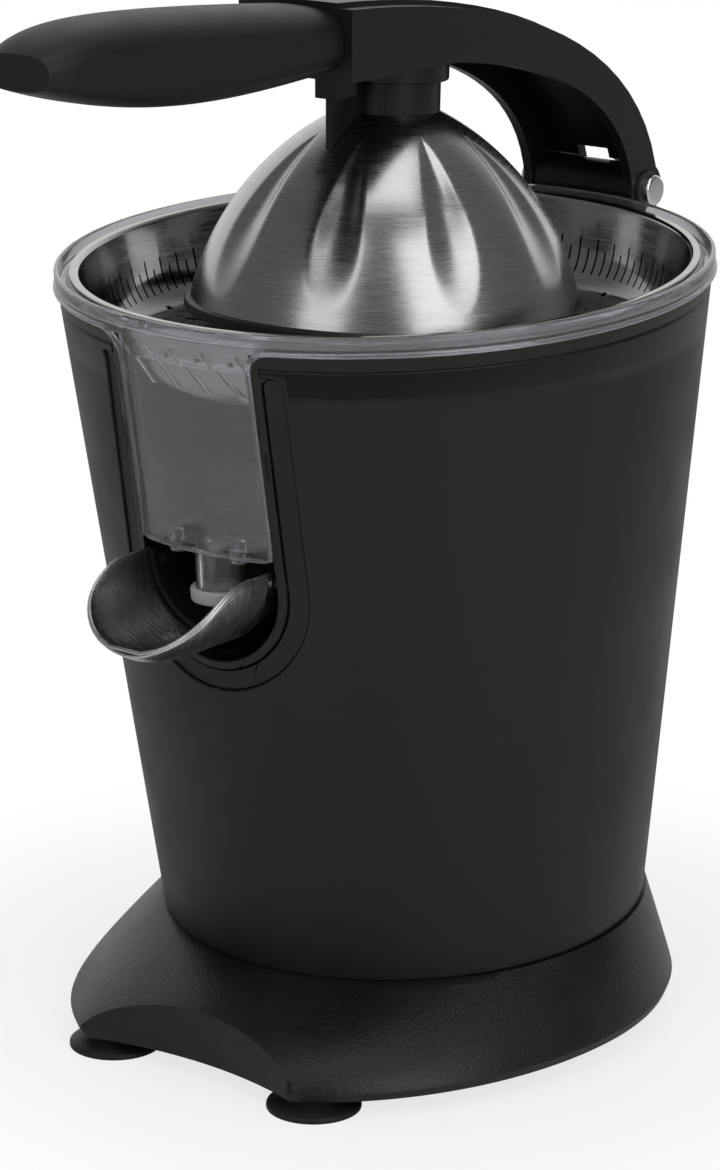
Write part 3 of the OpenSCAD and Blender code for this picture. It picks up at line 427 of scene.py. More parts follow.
def copy_of(node, name):
    """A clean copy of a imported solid, with its flat faces whole again."""
    bm = bmesh.new()
    bm.from_mesh(frame["nodes"][node].data)
    bmesh.ops.remove_doubles(bm, verts=bm.verts, dist=2e-6)
    bmesh.ops.dissolve_limit(bm, angle_limit=radians(0.3), verts=bm.verts, edges=bm.edges)
    bmesh.ops.transform(bm, matrix=Matrix.Scale(1000, 4), verts=bm.verts)
    return piece(name, bm, STILL)


def tube(name, points, radius, matrix):
    """A round bar along a smooth line of points."""
    curve = bpy.data.curves.new(name, "CURVE")
    curve.dimensions = "3D"
    curve.bevel_depth = radius
    curve.bevel_resolution = 4
    curve.use_fill_caps = True
    line = curve.splines.new("POLY")
    line.points.add(len(points) - 1)
    for spot, p in zip(line.points, points):
        spot.co = (*p, 1)
    rough = bpy.data.objects.new(name, curve)
    bpy.context.scene.collection.objects.link(rough)
    graph = bpy.context.evaluated_depsgraph_get()
    mesh = bpy.data.meshes.new_from_object(rough.evaluated_get(graph))
    bpy.data.objects.remove(rough)
    bm = bmesh.new()
    bm.from_mesh(mesh)
    bmesh.ops.remove_doubles(bm, verts=bm.verts, dist=1e-4)
    return piece(name, bm, matrix, 60)


def join(first, *others):
    """Puts other pieces' meshes into the first."""
    bm = bmesh.new()
    bm.from_mesh(first.data)
    for other in others:
        bm.from_mesh(other.data)
        bpy.data.objects.remove(other)
    bm.to_mesh(first.data)
    bm.free()
    return first


def finish(obj, paint, body, nodes=()):
    """Paints a piece, ties it to its body and hides the solids that it stands for."""
    obj.data.materials.clear()
    obj.data.materials.append(paint.material)
    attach(obj, body)
    if nodes:
        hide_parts(*nodes)
    return obj


def repaint(paint, *nodes):
    """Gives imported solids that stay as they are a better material."""
    for node in nodes:
        obj = frame["nodes"][node]
        obj.data.materials.clear()
        obj.data.materials.append(paint.material)


def loft_bm(rings):
    """Rings of equal point counts, joined one after another and closed at both ends."""
    bm = bmesh.new()
    ring = bmesh.ops.create_circle(bm, segments=len(rings[0]), radius=1)["verts"]
    edges = list(bm.edges)
    first = list(edges)
    for vert, p in zip(ring, rings[0]):
        vert.co = p
    for points in rings[1:]:
        grown = bmesh.ops.extrude_edge_only(bm, edges=edges)["geom"]
        edges = [g for g in grown if isinstance(g, bmesh.types.BMEdge)]
        fresh = {g for g in grown if isinstance(g, bmesh.types.BMVert)}
        above = []
        for vert in ring:
            above += [e.other_vert(vert) for e in vert.link_edges if e.other_vert(vert) in fresh]
        ring = above
        for vert, p in zip(ring, points):
            vert.co = p
    for rim in (first, edges):
        bmesh.ops.contextual_create(bm, geom=rim)
    return outward(bm)


def arc(cx, cy, r, start, end, steps=24):
    """Points of an arc, start and end in degrees."""
    turn = [radians(start + (end - start) * i / steps) for i in range(steps + 1)]
    return [(cx + r * cos(a), cy + r * sin(a)) for a in turn]


def cone_points(inset, low, high, steps):
    """The bucket's side in a radius and height plane."""
    spots = [low + (high - low) * i / steps for i in range(steps + 1)]
    return [(shell_r(z) - inset, z) for z in spots]


# ---- settings


class PressSizes(bpy.types.PropertyGroup):
    """Sizes that change the look but not the frame."""

    bite_round: bpy.props.FloatProperty(
        name="Foot edge rounding", description="Radius of the edge round the bite of the foot",
        default=0.0012, min=0.0002, max=0.003, unit="LENGTH", subtype="DISTANCE",
    )
    groove_count: bpy.props.IntProperty(
        name="Dome grooves", description="Pressed grooves round the dome", default=9, min=5, max=16,
    )
    groove_depth: bpy.props.FloatProperty(
        name="Dome groove depth", description="How far the grooves are pressed in", default=0.0027,
        min=0.0, max=0.003, unit="LENGTH", subtype="DISTANCE",
    )
    rib_count: bpy.props.IntProperty(
        name="Reamer ribs", description="Ribs of the reamer cone", default=8, min=6, max=12,
    )
    bead_radius: bpy.props.FloatProperty(
        name="Clear bead", description="Radius of the bright bead round the window", default=0.0008,
        min=0.0003, max=0.0012, unit="LENGTH", subtype="DISTANCE",
    )


class PressColours(bpy.types.PropertyGroup):
    """Colours of the finishes."""

    shell: bpy.props.FloatVectorProperty(
        name="Body", description="Black of the body", subtype="COLOR", default=(0.0072, 0.0072, 0.0076),
    )
    foot: bpy.props.FloatVectorProperty(
        name="Foot", description="Black of the foot", subtype="COLOR", default=(0.006, 0.006, 0.0063),
    )
    arm: bpy.props.FloatVectorProperty(
        name="Arm", description="Black of the arm", subtype="COLOR", default=(0.0065, 0.0065, 0.0068),
    )
    grip: bpy.props.FloatVectorProperty(
        name="Grip", description="Soft black of the grip", subtype="COLOR", default=(0.0058, 0.0058, 0.0061),
    )
    steel: bpy.props.FloatVectorProperty(
        name="Steel", description="Brushed steel", subtype="COLOR", default=(0.44, 0.435, 0.43),
    )
    clear: bpy.props.FloatVectorProperty(
        name="Clear plastic", description="Tint of the clear plastic", subtype="COLOR",
        default=(0.86, 0.86, 0.9),
    )
    rubber: bpy.props.FloatVectorProperty(
        name="Rubber", description="Black rubber", subtype="COLOR", default=(0.009, 0.009, 0.0095),
    )


class PressStage(bpy.types.PropertyGroup):
    """Light and floor."""

    floor: bpy.props.FloatVectorProperty(
        name="Floor", description="Pale floor", subtype="COLOR", default=(0.86, 0.86, 0.86),
    )
    room: bpy.props.FloatProperty(
        name="Room", description="Strength of the light from all round", default=0.3, min=0.0, max=1.0,
    )
    key_power: bpy.props.FloatProperty(
        name="Right panel", description="Power of the panel on the right", default=9.0, unit="POWER",
    )
    fill_power: bpy.props.FloatProperty(
        name="Left panel", description="Power of the panel on the left", default=5.0, unit="POWER",
    )
    top_power: bpy.props.FloatProperty(
        name="Top panel", description="Power of the panel above", default=5.0, unit="POWER",
    )


def sizes():
    return bpy.context.scene.press_sizes


def colours():
    return bpy.context.scene.press_colours


# ---- foot

BASE_RX, BASE_FRONT, BASE_REAR, BASE_Y = 84.5, 104, 92, -12
BASE_LOW, BASE_EDGE, BASE_TUCK, SKIRT_WALL = 5.5, 8, 1, 3
BITE_R, BITE_Y = 125, -97.5
FOOT_SPOTS = ((-37, -91.5), (37, -91.5), (-44, 42), (44, 42))
SKIRT_SIDES, SKIRT_STEPS = 240, 16
GLAND_Z = 18
GLAND_CUTS = (("gland_seat", 81, 8.3, 10), ("gland_hole", 72, 6.05, 30))


def foot_point(a, inset):
    long = BASE_REAR if sin(a) > 0 else BASE_FRONT
    return Vector(((BASE_RX - inset) * cos(a), BASE_Y + (long - inset) * sin(a), 0))


def seat_point(a, inset):
    r = FOOT_R + 1 - inset
    return BUCKET @ Vector((r * cos(a), r * sin(a), FOOT_Z))


def skirt_spot(a, s, inset, low):
    """A spot of the foot's side: s is -1 at the lower edge, 0 at the widest edge and 1 at the body."""
    if s <= 0:
        return foot_point(a, inset - BASE_TUCK * s) + Vector((0, 0, BASE_EDGE + (BASE_EDGE - low) * s))
    f, seat = foot_point(a, inset), seat_point(a, inset)
    along = s ** 1.4
    up = along ** (0.54 + 0.46 * sqrt((1 + sin(a)) / 2))
    spot = f.lerp(seat, along)
    spot.z = BASE_EDGE + (seat.z - BASE_EDGE) * up
    return spot


def bitten(p, grow):
    return p.x ** 2 + (p.y - BITE_Y + BITE_R) ** 2 < (BITE_R + grow) ** 2


def last_bitten(a, inset, low, grow, end):
    """How far up, or down, its side a column of the foot is bitten away."""
    if not bitten(skirt_spot(a, 0, inset, low), grow):
        return 0.0
    if bitten(skirt_spot(a, end, inset, low), grow):
        return end
    near, far = 0.0, end
    for _ in range(30):
        middle = (near + far) / 2
        if bitten(skirt_spot(a, middle, inset, low), grow):
            near = middle
        else:
            far = middle
    return far


def bite_wall(p, a, grow):
    """The spot where a column's inward way from p meets the bite."""
    step = Vector((-cos(a), -sin(a), 0)) * 0.05
    while bitten(p, grow):
        p = p + step
    return p


def skirt_rings(inset, low, over, grow=0):
    """Rings of the flared foot with its bite, from its lower edge to its seat on the body."""
    columns = []
    for i in range(SKIRT_SIDES):
        a = 2 * pi * i / SKIRT_SIDES
        down = min(-0.1, last_bitten(a, inset, low, grow, -1))
        up = last_bitten(a, inset, low, grow, 1)
        column = [skirt_spot(a, -1 + (down + 1) * t, inset, low) for t in (0, 0.5, 1)]
        if down == -1:
            foot = bite_wall(column[0], a, grow)
            head = skirt_spot(a, up, inset, low)
            column = [foot, foot.lerp(head, 0.08), foot.lerp(head, 0.16)]
        shares = [up + (1 - up) * k / SKIRT_STEPS for k in range(SKIRT_STEPS + 1)]
        column += [skirt_spot(a, share, inset, low) for share in shares]
        if over:
            column.append(column[-1] + Vector((0, 0, over)))
        columns.append(column)
    return [list(row) for row in zip(*columns)]


def make_foot():
    skirt = piece("foot_skirt", loft_bm(skirt_rings(0, BASE_LOW, 0)), STILL)
    carve(skirt, piece("foot_hollow", loft_bm(skirt_rings(SKIRT_WALL, BASE_LOW - 1, 2, SKIRT_WALL)), STILL))
    for name, y, radius, depth in GLAND_CUTS:
        cut = bmesh.new()
        rod(cut, moved(0, y, GLAND_Z) @ turned(90, "X"), radius, depth, 48)
        carve(skirt, piece(name, cut, STILL))
    soften(skirt, sizes().bite_round * 1000, 3, 50)
    black = moulded("foot black", colours().foot, 0.38, 1.1, 0.14, 0.5, 0.36)
    finish(skirt, black, "housing", ["base_skirt"])

    cup = rounded([
        (0.01, 1.4), (9.3, 1.6, 0.5), (12.2, 0.0, 0.3), (13.5, 0.0, 0.4), (13.5, 1.5, 0.6),
        (9.6, 3.0, 1.2), (8.4, 4.0, 0.8), (7.4, 5.5, 0.2), (0.01, 5.5),
    ])
    feet = None
    for x, y in FOOT_SPOTS:
        foot = piece("suction_cups", lathe_bm(cup, 56), moved(x, y, 0))
        feet = join(feet, foot) if feet else foot
    finish(feet, rubber("foot rubber", colours().rubber, 0.5), "housing", ["suction_feet"])


# ---- body


def make_body():
    outline = (
        cone_points(0, FOOT_Z, SHELL_TOP_Z - 0.5, 16)
        + [(SHELL_TOP_R - 0.15, SHELL_TOP_Z - 0.15), (SHELL_TOP_R - 0.5, SHELL_TOP_Z)]
        + [(SHELL_TOP_R - 2.5, SHELL_TOP_Z), (FOOT_R - 2.5, FOOT_Z)]
    )
    shell = piece("body_shell_skin", lathe_bm(outline), BUCKET)
    half, top = SURROUND_HALF, SURROUND_TOP_Z
    mouth = (
        arc(0, OPENING_Z, half, 180, 360, 56)
        + rounded([(half, OPENING_Z), (half, top, 3), (OPENING_HALF, top), (OPENING_HALF, ABOVE),
                   (-OPENING_HALF, ABOVE), (-OPENING_HALF, top), (-half, top, 3)])[1:]
    )
    carve(shell, piece("mouth_cut", prism_bm(mouth, FRONT, MIDDLE), BUCKET))
    soften(shell, 0.45, 2, 45, clamp=False)
    black = moulded("body black", colours().shell, 0.46, 0.32, 0.012, 0.08)
    finish(shell, black, "housing", ["body_shell"])

    ring = piece("trim_band", lathe_bm(rounded([
        (SHELL_TOP_R - 0.25, SHELL_TOP_Z + 0.05, 0.3), (94.0, RIM_BASE_Z - 0.05, 0.2),
        (91.2, RIM_BASE_Z - 0.05), (91.2, SHELL_TOP_Z + 0.05),
    ])), BUCKET)
    gap = [(OPENING_HALF, 200), (OPENING_HALF, CORNER_LOW_Z)]
    gap += arc(CORNER_X, CORNER_Z, CORNER_R, 124.5, 90, 8) + [(CORNER_X, ABOVE)]
    gap += [(-x, z) for x, z in reversed(gap)]
    carve(ring, piece("trim_cut", prism_bm(gap, FRONT, MIDDLE), BUCKET))
    finish(ring, black, "housing", ["trim_ring"])

    bracket = soften(copy_of("hinge_bracket", "hinge_block"), 0.5, 2)
    black = moulded("bracket black", colours().arm, 0.4, 0.4, 0.02)
    finish(bracket, black, "housing", ["hinge_bracket"])


# ---- mouth and spout

MOUTH_LOW = 112


def on_cone(x, z, inset=0.0):
    r = shell_r(z) - inset
    return Vector((x, -sqrt(max(0.0, r * r - x * x)), z))


def make_mouth():
    low, half, inner, top = OPENING_Z, SURROUND_HALF - 0.15, OPENING_HALF + 0.35, SURROUND_TOP_Z - 0.15
    band = (
        arc(0, low, half, 180, 360, 56)
        + rounded([(half, low), (half, top, 2.8), (inner, top, 2.8), (inner, low)])[1:]
        + arc(0, low, inner, 0, -180, 48)[1:]
        + rounded([(-inner, low), (-inner, top, 2.8), (-half, top, 2.8), (-half, low)])[1:-1]
    )
    wall = cone_points(0.75, MOUTH_LOW, 216, 12) + list(reversed(cone_points(2.5, MOUTH_LOW, 216, 1)))
    surround = piece("mouth_band", lathe_bm(wall), BUCKET)
    carve(surround, piece("band_shape", prism_bm(band, FRONT, -50), BUCKET), "INTERSECT")
    soften(surround, 0.3, 2, 45, clamp=False)
    finish(surround, moulded("band grain", shade(colours().shell, 1.2), 0.55, 0.8, 0.06, 0.2), "housing",
           ["spout_surround"])

    half, bend = OPENING_HALF - 0.1, 211.4
    right = [(half, low), (half, bend)] + arc(29, bend, 3.0, 180, 90, 6) + [(half, SURROUND_TOP_Z)]
    right += [(half, CORNER_LOW_Z)] + arc(CORNER_X, CORNER_Z, CORNER_R, 124.5, 180, 8) + [(BEZEL_HALF, low)]
    frame_line = (
        arc(0, low, half, 180, 360, 48) + right[1:] + arc(0, low, BEZEL_HALF, 0, -180, 48)[1:]
        + [(-x, z) for x, z in reversed(right)][1:-1]
    )
    deep = (
        cone_points(0.2, MOUTH_LOW, RIM_BASE_Z, 14)
        + [(shell_r(RIM_BASE_Z) - 2.5, RIM_BASE_Z), (shell_r(POCKET_Z) - 2.5, POCKET_Z)]
        + [(shell_r(POCKET_Z) - 6, POCKET_Z), (shell_r(MOUTH_LOW) - 6, MOUTH_LOW)]
    )
    bezel = piece("mouth_frame", lathe_bm(deep), BUCKET)
    carve(bezel, piece("frame_shape", prism_bm(frame_line, FRONT, -40), BUCKET), "INTERSECT")
    soften(bezel, 0.4, 3, 45, clamp=False)
    finish(bezel, moulded("frame black", colours().shell, 0.38, 0.5, 0.012, 0.1), "housing",
           ["spout_bezel"])

    bay = copy_of("spout_bay", "mouth_lining")
    finish(bay, moulded("lining black", shade(colours().shell, 0.45), 0.5, 0.5, 0.015), "housing",
           ["spout_bay"])


SPOUT = BUCKET @ moved(0, -83, 157) @ turned(-3, "X")
SPOUT_R, SPOUT_LEN, LIP_WALL = 21.7, 23.0, 0.9
LIP_START, LIP_FALL, LIP_POWER = 10.0, 0.0384, 1.893


def lip_limit(y):
    """Height of the lip's edge above the spout's axis at y, which runs forwards as negative."""
    return -LIP_FALL * max(0.0, -y - LIP_START) ** LIP_POWER


def make_spout():
    """The steel lip: a trough of half circles that closes in a quarter ball, cut by its falling edge."""
    rings = []
    steps, around = 40, 40
    length = SPOUT_LEN + SPOUT_R
    for i in range(steps + 1):
        y = -length * sin(pi / 2 * i / steps) if i else 0.0
        over = max(0.0, -y - SPOUT_LEN)
        r = sqrt(max(0.0, SPOUT_R ** 2 - over ** 2))
        top = lip_limit(y)
        if r < 0.2 or top < -r + 0.15:
            break
        open_at = asin(max(-1.0, top / r)) if top < 0 else 0.0
        sweep = [pi - open_at + (pi + 2 * open_at) * k / around for k in range(around + 1)]
        rings.append([Vector((r * cos(a), y, r * sin(a))) for a in sweep])
    bm = bmesh.new()
    grid = bmesh.ops.create_grid(bm, x_segments=around, y_segments=len(rings) - 1, size=1)["verts"]
    ordered = sorted(grid, key=lambda v: (round(v.co.y, 5), round(v.co.x, 5)))
    flat = [p for ring in rings for p in ring]
    for vert, p in zip(ordered, flat):
        vert.co = p
    bmesh.ops.recalc_face_normals(bm, faces=bm.faces)
    lip = piece("pouring_lip", bm, SPOUT)
    wall = lip.modifiers.new("steel", "SOLIDIFY")
    wall.thickness = LIP_WALL / 1000
    wall.offset = -1
    settle(lip)
    edge = [ring[-1] for ring in rings] + list(reversed([ring[0] for ring in rings]))
    bead = tube("lip_edge", edge, 0.55, SPOUT)
    join(lip, bead)
    steel = brushed("spout steel", shade(colours().steel, 1.2), 0.25, (0.2, 4.0, 0.2))
    finish(lip, steel, "spout", ["pouring_spout"])
    carrier = soften(copy_of("spout_carrier", "spout_trough"), 0.3)
    black = moulded("trough black", shade(colours().shell, 0.5), 0.5)
    finish(carrier, black, "spout", ["spout_carrier"])


# ---- clear collector


BOWL_LOW_R, BOWL_HIGH_R, BOWL_Z, BOWL_WALL = 84.5, 90.7, 176, 2
BOWL_IN_Z, BOWL_EDGE_Z, WELL_R, WELL_TOP_Z = 179, 225, 8, 202
POCKET_HALF, POCKET_BACK, POCKET_ROOF_Z = 22.9, -57, 215
NOZZLE_Y, NOZZLE_R, NOZZLE_BORE_R, NOZZLE_LOW_Z = -78, 7, 5.5, 146.2
BEAD_X, BEAD_R, BEAD_Z, BEAD_BEND = 22.5, 94.15, 221.9, 6.9
STUB_X, STUB_Y = 11, -82.5
AXIS = 0.01


def bowl_r(z):
    return BOWL_LOW_R + (BOWL_HIGH_R - BOWL_LOW_R) * (z - BOWL_Z) / (RIM_Z - BOWL_Z)


def on_front(outline, back, inset, top):
    """The pocket's outline drawn from the back of the pocket to the bucket's side."""
    block = piece("pocket", prism_bm(outline, -110, back), BUCKET)
    side = [(AXIS, 150)] + cone_points(inset, 150, top, 14) + [(AXIS, top)]
    return carve(block, piece("pocket_front", lathe_bm(side), BUCKET), "INTERSECT")


def bead_line():
    """The bead's way: up the window's side, out to the rim, round the back and down the other side."""
    side = [on_cone(BEAD_X, z, 0.7) for z in (POCKET_Z + 1.2, 175, 190, 205, 212, CORNER_Z)]
    for a in range(170, 85, -10):
        x, z = CORNER_X + BEAD_BEND * cos(radians(a)), CORNER_Z + BEAD_BEND * sin(radians(a))
        near = (z - CORNER_Z) / BEAD_BEND
        r = (shell_r(z) - 0.7) * (1 - near) + BEAD_R * near
        side.append(Vector((x, -sqrt(r * r - x * x), z)))
    begin = atan2(side[-1].y, side[-1].x)
    around = 150
    turns = [begin + (pi - 2 * begin) * i / around for i in range(1, around)]
    back = [Vector((BEAD_R * cos(a), BEAD_R * sin(a), BEAD_Z)) for a in turns]
    return side + back + [Vector((-p.x, p.y, p.z)) for p in reversed(side)]


def make_collector():
    low, wall = BOWL_IN_Z, BOWL_WALL
    rim = rounded([
        (94.5, RIM_BASE_Z + 0.3, 0.4), (94.5, RIM_Z, 0.7), (93.1, RIM_Z, 0.6), (92.9, 223.2, 0.6),
        (91.0, 223.0, 0.4), (90.7, BOWL_EDGE_Z, 0.5), (88.9, BOWL_EDGE_Z, 0.4), (bowl_r(low) - wall, low, 4),
        (WELL_R, low, 1.5), (WELL_R, WELL_TOP_Z, 0.4), (WELL_R - wall, WELL_TOP_Z), (WELL_R - wall, BOWL_Z),
        (BOWL_LOW_R, BOWL_Z, 4), (bowl_r(RIM_BASE_Z), RIM_BASE_Z + 0.3, 0.4),
    ])
    bowl = piece("clear_bowl", lathe_bm(rim), BUCKET)
    half, base, roof = POCKET_HALF, POCKET_Z, POCKET_ROOF_Z
    outer = rounded([(-half, base, 2.5), (half, base, 2.5), (half, 222), (-half, 222)])
    pocket = on_front(outer, POCKET_BACK, 1.0, 223)
    half -= wall
    inner = rounded([
        (-half, base + wall, 1.5), (half, base + wall, 1.5), (half, roof, 0.6), (-half, roof, 0.6),
    ])
    room = on_front(inner, POCKET_BACK - wall, 3.2, 219)
    carve(bowl, pocket, "UNION")
    space = [(WELL_R, low), (WELL_R, 230), (88.9, 230)]
    space += [(bowl_r(BOWL_EDGE_Z) - wall, BOWL_EDGE_Z), (bowl_r(low) - wall, low)]
    carve(bowl, piece("bowl_space", lathe_bm(space), BUCKET))
    carve(bowl, room)
    bore = [(NOZZLE_BORE_R, 140), (NOZZLE_BORE_R, 166), (AXIS, 166), (AXIS, 140)]
    stem = [(AXIS, NOZZLE_LOW_Z), (NOZZLE_R, NOZZLE_LOW_Z, 0.3), (NOZZLE_R, base + 1), (AXIS, base + 1)]
    down = BUCKET @ moved(0, NOZZLE_Y, 0)
    carve(bowl, piece("nozzle_body", lathe_bm(rounded(stem), 64), down), "UNION")
    carve(bowl, piece("nozzle_bore", lathe_bm(bore, 64), down))

    ends = (0, 24)
    edge = [on_cone(BEAD_X * (i / 12 - 1), base + (1.2 if i in ends else 0.6), 0.9) for i in range(25)]
    bead = tube("clear_bead", bead_line(), sizes().bead_radius * 1000, BUCKET)
    low_bead = tube("clear_low_bead", edge, 0.6, BUCKET)
    stub = rounded([(AXIS, base - 1.5), (2.4, base - 1.5, 0.4), (2.4, base + 5, 0.6), (1.0, base + 5),
                    (0.9, base + 2.8), (AXIS, base + 2.8)])
    stubs = [piece("clear_stub", lathe_bm(stub, 24), BUCKET @ moved(x, STUB_Y, 0)) for x in (-STUB_X, STUB_X)]
    join(bowl, bead, low_bead, *stubs)
    tint = colours().clear
    glass = clear("clear plastic", 22, 2, tint, shade(tint, 0.96), 0.012, 0.042, 0.96, 1.49)
    finish(bowl, glass, "housing", ["juice_collector"])

    sleeve = rounded([(5.0, 145, 0.4), (8.6, 145, 1.0), (8.7, 148.8, 0.8), (7.1, 149, 0.2), (7.05, 146.1),
                      (5.0, 146.1)])
    silicone = clear("silicone", 8, 3, (0.62, 0.62, 0.63), (0.7, 0.7, 0.71), 0.35, 0.5, 0.5, 1.41)
    seal = piece("nozzle_sleeve", lathe_bm(sleeve, 64), down)
    finish(seal, silicone, "housing", ["nozzle_seal"])


# ---- strainer and reamer


STRAINER_Z, STRAINER_DISH, STRAINER_LOW_R = 200.0, 8.0, 84.0
FLOOR_SLOTS, WALL_SLITS = 16, 150
FRONT_SLOTS = [270 + 7 * i for i in range(-4, 5)]
SLOT_MID, SLOT_SLANT = 12.5, 38
REAMER_Z = 205.5


def slot_lip(angle):
    """The bright lip of a front slot, which follows the strainer's wall."""
    spots = []
    for k in range(9):
        up = 6.5 + 12 * k / 8
        turn = radians(angle) - (up - SLOT_MID) * tan(radians(SLOT_SLANT)) / 85 + 0.01
        r = STRAINER_LOW_R + 4.3 * up / 25 + 0.1 - 0.35 * max(0.0, 12 - up) ** 1.1 / 6
        spots.append(Vector((r * cos(turn), r * sin(turn), STRAINER_Z + up)))
    return tube("slot_lip", spots, 0.3, BUCKET)


def make_strainer():
    floor_z, low_z = STRAINER_Z, STRAINER_Z - STRAINER_DISH
    outer = [
        (90.2, 226.0, 0.3), (90.2, 225.2, 0.3), (88.3, 225.0, 0.6), (STRAINER_LOW_R, floor_z, 15.0),
        (14.6, low_z, 1.2), (14.6, 202.2, 0.6), (6.6, 202.2), (6.6, 203.0), (13.8, 203.0, 0.8),
        (13.8, low_z + 1, 1.5), (83.2, floor_z + 0.9, 14.2), (87.4, 225.4, 0.5), (88.2, 226.0, 0.4),
    ]
    basket = piece("strainer_basket", lathe_bm(rounded(outer, 9), 192), BUCKET)
    cuts = bmesh.new()
    for i in range(FLOOR_SLOTS):
        spin = turned(360 * i / FLOOR_SLOTS, "Z")
        bar(cuts, spin @ moved(59, 0, floor_z - 6) @ turned(28, "Z"), 27, 1.5, 14)
        for r, off in ((50, 9), (58, 10), (66, 11), (74, 12), (78, 4)):
            rod(cuts, spin @ turned(off, "Z") @ moved(r, 0, floor_z - 5), 1.0, 14)
    for i in range(WALL_SLITS):
        a = 360 * i / WALL_SLITS
        if abs((a - 270 + 180) % 360 - 180) < 36:
            continue
        tall = 10 if i % 2 else 7
        bar(cuts, turned(a, "Z") @ moved(83, 0, floor_z + 5 + tall / 2), 16, 0.7, tall)
    for angle in FRONT_SLOTS:
        spin = turned(angle, "Z") @ moved(86, 0, floor_z + SLOT_MID)
        bar(cuts, spin @ turned(SLOT_SLANT, "X"), 12, 1.1, 16)
        for dz in (-4, 4):
            rod(cuts, spin @ moved(0, 4, dz) @ turned(90, "Y"), 0.9, 12)
    carve(basket, piece("strainer_cuts", cuts, BUCKET))
    for angle in FRONT_SLOTS:
        join(basket, slot_lip(angle))
    steel = brushed("strainer steel", shade(colours().steel, 0.85), 0.13, (0.1, 0.1, 2.5), 0.003)
    finish(basket, steel, "housing", ["strainer"])


def make_reamer():
    rib_count = sizes().rib_count
    rings = []
    sides = rib_count * 12
    # radius, height and rib of each ring
    shape = [
        (38, 0.2, 0), (38, 2, 0), (36.5, 2.6, 0), (31.5, 3, 2.0), (29, 8, 3.4), (24.5, 16, 3.6),
        (18.5, 25, 3.2), (12, 33, 2.6), (7, 38.5, 1.8), (3.2, 41, 0.8), (0.6, 41.8, 0),
    ]
    for core, z, rib in shape:
        ring = []
        for k in range(sides):
            a = 2 * pi * k / sides
            ridge = max(0.0, cos(a * rib_count)) ** 6
            r = core - rib * 0.4 + rib * ridge
            ring.append(Vector((r * cos(a), r * sin(a), REAMER_Z + z)))
        rings.append(ring)
    cone = piece("reamer_cone", loft_bm(rings), BUCKET)
    soft = cone.modifiers.new("smooth", "SUBSURF")
    soft.levels = soft.render_levels = 1
    black = moulded("reamer black", (0.03, 0.03, 0.032), 0.32, 0.4, 0.01)
    finish(cone, black, "reamer_train", ["reamer"])


# ---- dome

DOME_R, DOME_H, DOME_ARC, DOME_AXIS, DOME_WALL = 56, 54.2, 78, -15.7, 1.0
NECK_R, NECK_H, HUB_R, DOME_HOLE_R = 14.2, 9, 16.5, 9.2
FLUTE_LOW, FLUTE_TOP, FLUTE_END, FLUTE_HALF = 4.5, 48.5, 26, 11
DOME_IN = sqrt(DOME_ARC ** 2 - DOME_AXIS ** 2) - DOME_R


def dome_radius(h, inset=0.0):
    return sqrt((DOME_ARC - inset) ** 2 - (h - DOME_AXIS) ** 2) - DOME_IN


def flute_half(h):
    """Half the width of a dome flute at height h: pointed above and rounded below."""
    if not FLUTE_LOW < h < FLUTE_TOP:
        return 0.0
    half = FLUTE_HALF * ((FLUTE_TOP - h) / (FLUTE_TOP - FLUTE_LOW)) ** 0.62
    end = (FLUTE_LOW + FLUTE_END - h) / FLUTE_END
    return half * sqrt(1 - end * end) if end > 0 else half


